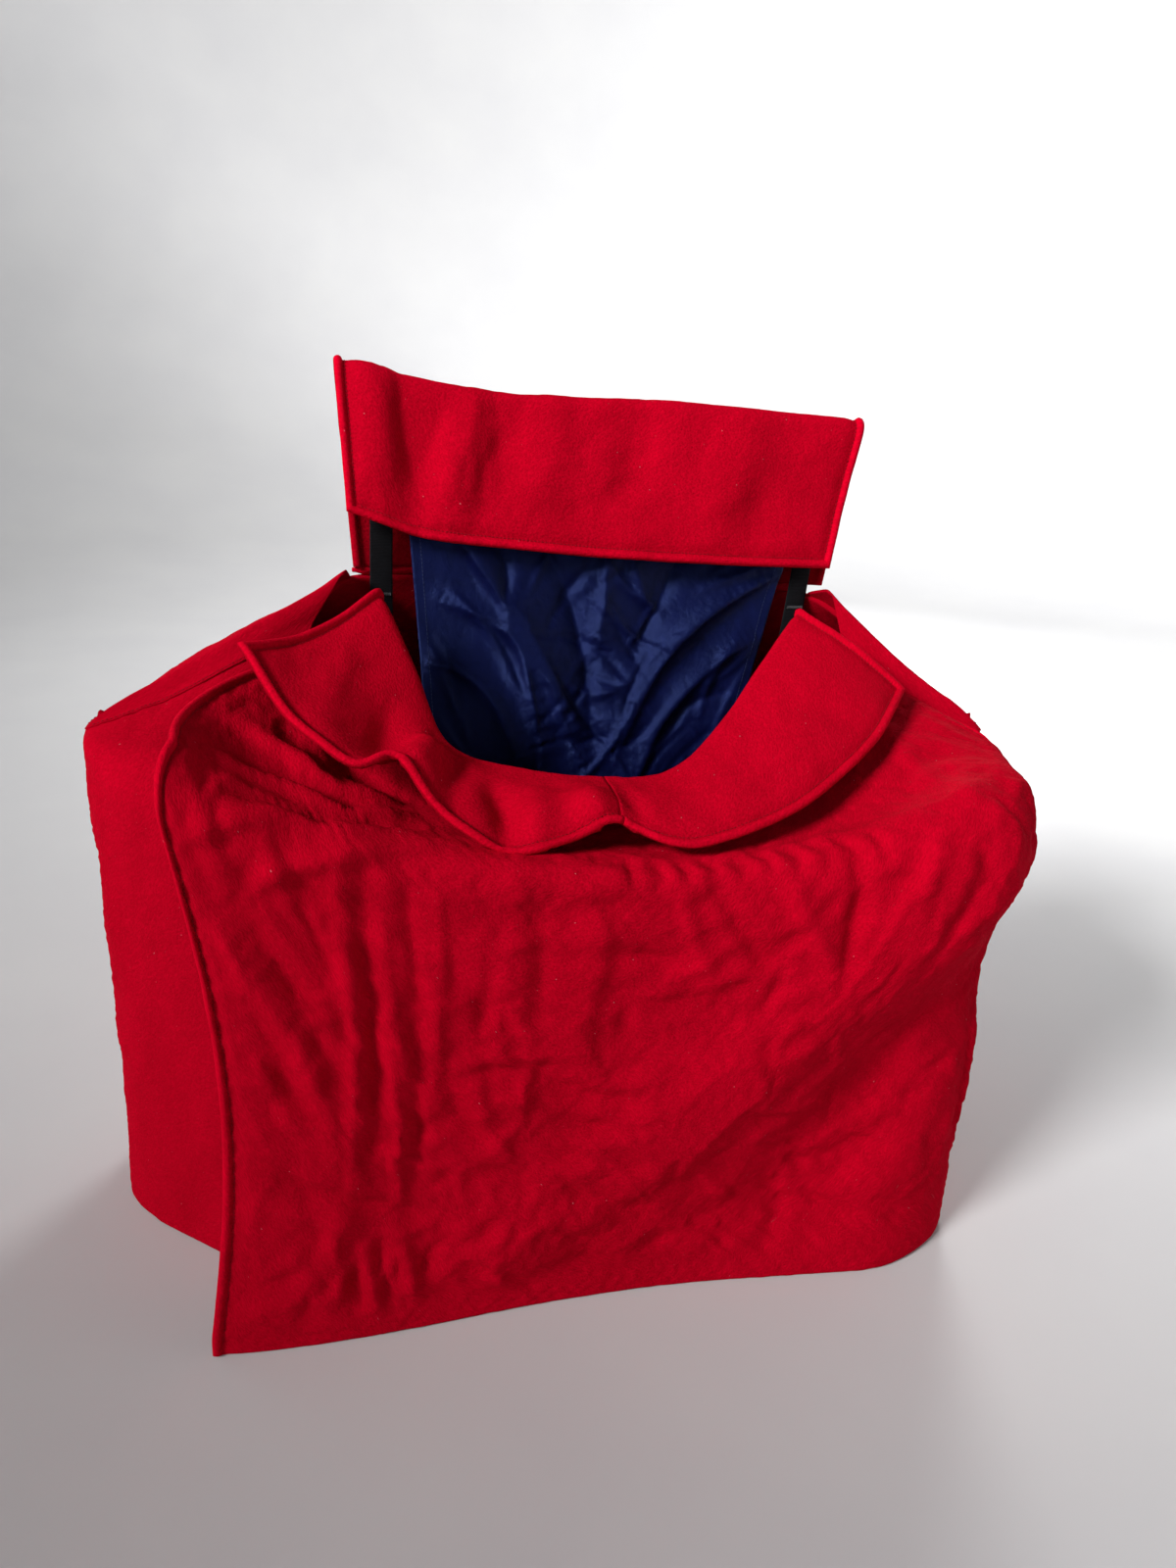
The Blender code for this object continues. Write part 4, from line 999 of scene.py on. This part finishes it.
def liner():
    left, right = spot(LINER_LEFT), spot(LINER_RIGHT)
    v, u = np.linspace(0, 1, 120), np.linspace(0, 1, 130)[:, None, None]
    base = along(left, v)[None] * (1 - u) + along(right, v)[None] * u
    down_share = np.broadcast_to(v, base.shape[:2])
    base = base - np.array((0, 0, 1)) * (0.0105 * down_share)[..., None]
    normals = normals_of(base)
    lift = folded(base, normals, LINER_FOLDS, crisp=True)
    lift += short_creases(base, normals, 26, (0.03, 0.20, 0.60, 0.95), 50, 16, 0.14, 0.0042, 0.0055, 43)
    lift += short_creases(base, normals, 26, (0.40, 0.20, 0.97, 0.95), 130, 16, 0.14, 0.0042, 0.0055, 44)
    lift += 0.0060 * ripple(lift.shape, (4, 4), 46) + 0.0012 * ripple(lift.shape, (12, 14), 47)
    base = base + normals * (np.clip(lift, -0.014, 0.014) * np.clip(down_share / 0.2, 0, 1))[..., None]
    sheet, face = cloth_piece("liner", base, 1, NO_BEADS, NYLON_THICK, NAVY, NAVY, step=0.0026)
    placed(sheet, "back", "nylon", "liner_panel", "liner_hem_tape")
    normals = normals_of(face)
    lines = [(face[4], normals[4]), (face[-5], normals[-5]), (face[:, -5], normals[:, -5])]
    seam = placed(stitches("liner_stitching", lines, NAVY_THREAD), "back", "thread")
    band = np.stack([base[:, 0] + (0, 0, height) for height in np.linspace(0.0205, -0.001, 7)], axis=1)
    header, _ = cloth_piece("liner_header", band, 1, NO_BEADS, HEADER_THICK, BLACK, BLACK, step=0.003)
    placed(header, "back", "webbing", "liner_header_tape")


def side_tape(side, line_cm):
    """A hanging tape with a slight twist and curl, and two zigzag bar tacks across it."""
    v = np.linspace(0, 1, 60)
    middle = along(spot(line_cm), v)
    width = np.linspace(-TAPE_HALF_WIDTH, TAPE_HALF_WIDTH, 9)[:, None, None]
    twist = 0.10 * np.sin(v * 5)[None, :, None]
    across = np.concatenate([np.cos(twist), np.sin(twist), np.zeros_like(twist)], axis=-1)
    curl = 0.0010 * (1 - (width / TAPE_HALF_WIDTH) ** 2) * np.array((0, -1, 0))
    base = middle[None] + width * across + curl + np.array((0, -0.0008, 0))
    tape, _ = cloth_piece(f"side_tape_{side}_woven", base, 1, NO_BEADS, TAPE_THICK, BLACK, BLACK, step=0.002)
    placed(tape, "back", "webbing", f"side_tape_{side}")
    run = unit(middle[1] - middle[0])
    step = np.linspace(-1, 1, 41)
    side_to_side = np.where(np.arange(len(step)) % 2, 1, -1)
    zigzag = np.stack([step * TACK_HALF_WIDTH, 0 * step, TACK_HALF_HEIGHT * side_to_side], axis=1)
    for level, far in (("upper", 0.012), ("lower", 0.122)):
        place = middle[0] + run * far + (0, -0.0024, 0)
        points, faces = tube_points(place + zigzag, TACK_RADIUS, 6)
        tack = new_mesh(f"bar_tack_{side}_{level}_thread", points, faces, [GREY_THREAD])
        placed(tack, "back", "thread", f"bar_tack_{side}_{level}")


# ---- camera, light and floor

def camera():
    """At the photograph's viewing angle: in front, a little to the left and above, and slightly rolled."""
    forward = np.array((0.2432, 0.9077, -0.3420))
    right, up = np.array((0.9659, -0.2588, 0.0)), np.array((0.0885, 0.3303, 0.9397))
    roll = math.radians(3.7)
    across = right * math.cos(roll) + up * math.sin(roll)
    upright = up * math.cos(roll) - right * math.sin(roll)
    data = bpy.data.cameras.new("camera")
    data.lens, data.sensor_width = 27.05, 36.0
    cam = linked("camera", data)
    turn_to(cam, across, upright, -forward, (-0.303, -1.17075, 0.95))
    bpy.context.scene.camera = cam


def turn_to(obj, x, y, z, place):
    """Turns an object's own axes to those directions and moves it to a place."""
    turned = Matrix((x, y, z)).transposed().to_4x4()
    turned.translation = place
    obj.matrix_world = turned


def light(name, kind, place, target, **settings):
    """A light at a place that shines towards a target."""
    data = bpy.data.lights.new(name, kind)
    for key, value in settings.items():
        setattr(data, key, value)
    back = -unit(np.array(target) - np.array(place))
    side = unit(np.cross((0, 0, 1), back))
    turn_to(linked(name, data), side, np.cross(back, side), back, place)


def bowl():
    """A pale floor that curves up far away on all sides, so that no horizon shows."""
    profile = [(0, 0), (1.5, 0), (3.4, 0), (4.3, 0.10), (5.1, 0.45), (5.7, 1.1), (6.0, 2.0), (6.1, 3.4)]
    sides = 72
    points, faces = [(0, 0, 0)], []
    for radius, height in profile[1:]:
        for k in range(sides):
            turn = 2 * math.pi * k / sides
            points.append((radius * math.cos(turn), radius * math.sin(turn), height))
    for k in range(sides):
        m = (k + 1) % sides
        faces.append((0, 1 + k, 1 + m))
        for ring in range(len(profile) - 2):
            a, b = 1 + ring * sides, 1 + (ring + 1) * sides
            faces.append((a + k, b + k, b + m, a + m))
    n = Nodes("pale_floor")
    at = n.add("ShaderNodeTexCoord").outputs["Object"]
    n.colour(n.ramp(n.noise(at, 3, 3), (0.2, (0.60, 0.60, 0.61)), (0.8, (0.64, 0.64, 0.64))))
    n.surface(0.8, 0.1)
    new_mesh("floor", points, faces, [n.material])


def studio():
    world = bpy.data.worlds.new("studio")
    world.use_nodes = True
    background = world.node_tree.nodes["Background"]
    background.inputs["Color"].default_value = (1.0, 1.0, 1.0, 1)
    background.inputs["Strength"].default_value = 0.10
    bpy.context.scene.world = world
    bpy.context.scene.view_settings.view_transform = "Standard"
    light("key", "SUN", (-0.81, -0.42, 0.50), (0, 0, 0), energy=5.5, angle=math.radians(18))
    for name, place, target, size, power in (
        ("rim", (1.7, 2.7, 1.7), (0.0, 0.15, 0.45), 1.2, 70),
        ("wall_left", (-3.4, 2.6, 2.4), (-5.6, 4.8, 1.4), 2.6, 80),
        ("wall_front", (-2.6, -3.4, 2.4), (-4.0, -5.8, 1.4), 2.6, 80),
    ):
        light(name, "AREA", place, target, shape="DISK", size=size, energy=power)
    bowl()


front_panel()
back_base = back_panel()
back_collar()
front_collar()
shoulder_strip("left", SHOULDER_LEFT, (7 / 18, 3 / 18), (0, 3 / 18), back_base)
shoulder_strip("right", SHOULDER_RIGHT, (11 / 18, 15 / 18), (1, 15 / 18), back_base)
neck_seam()
liner()
side_tape("left", TAPE_LEFT)
side_tape("right", TAPE_RIGHT)
camera()
studio()
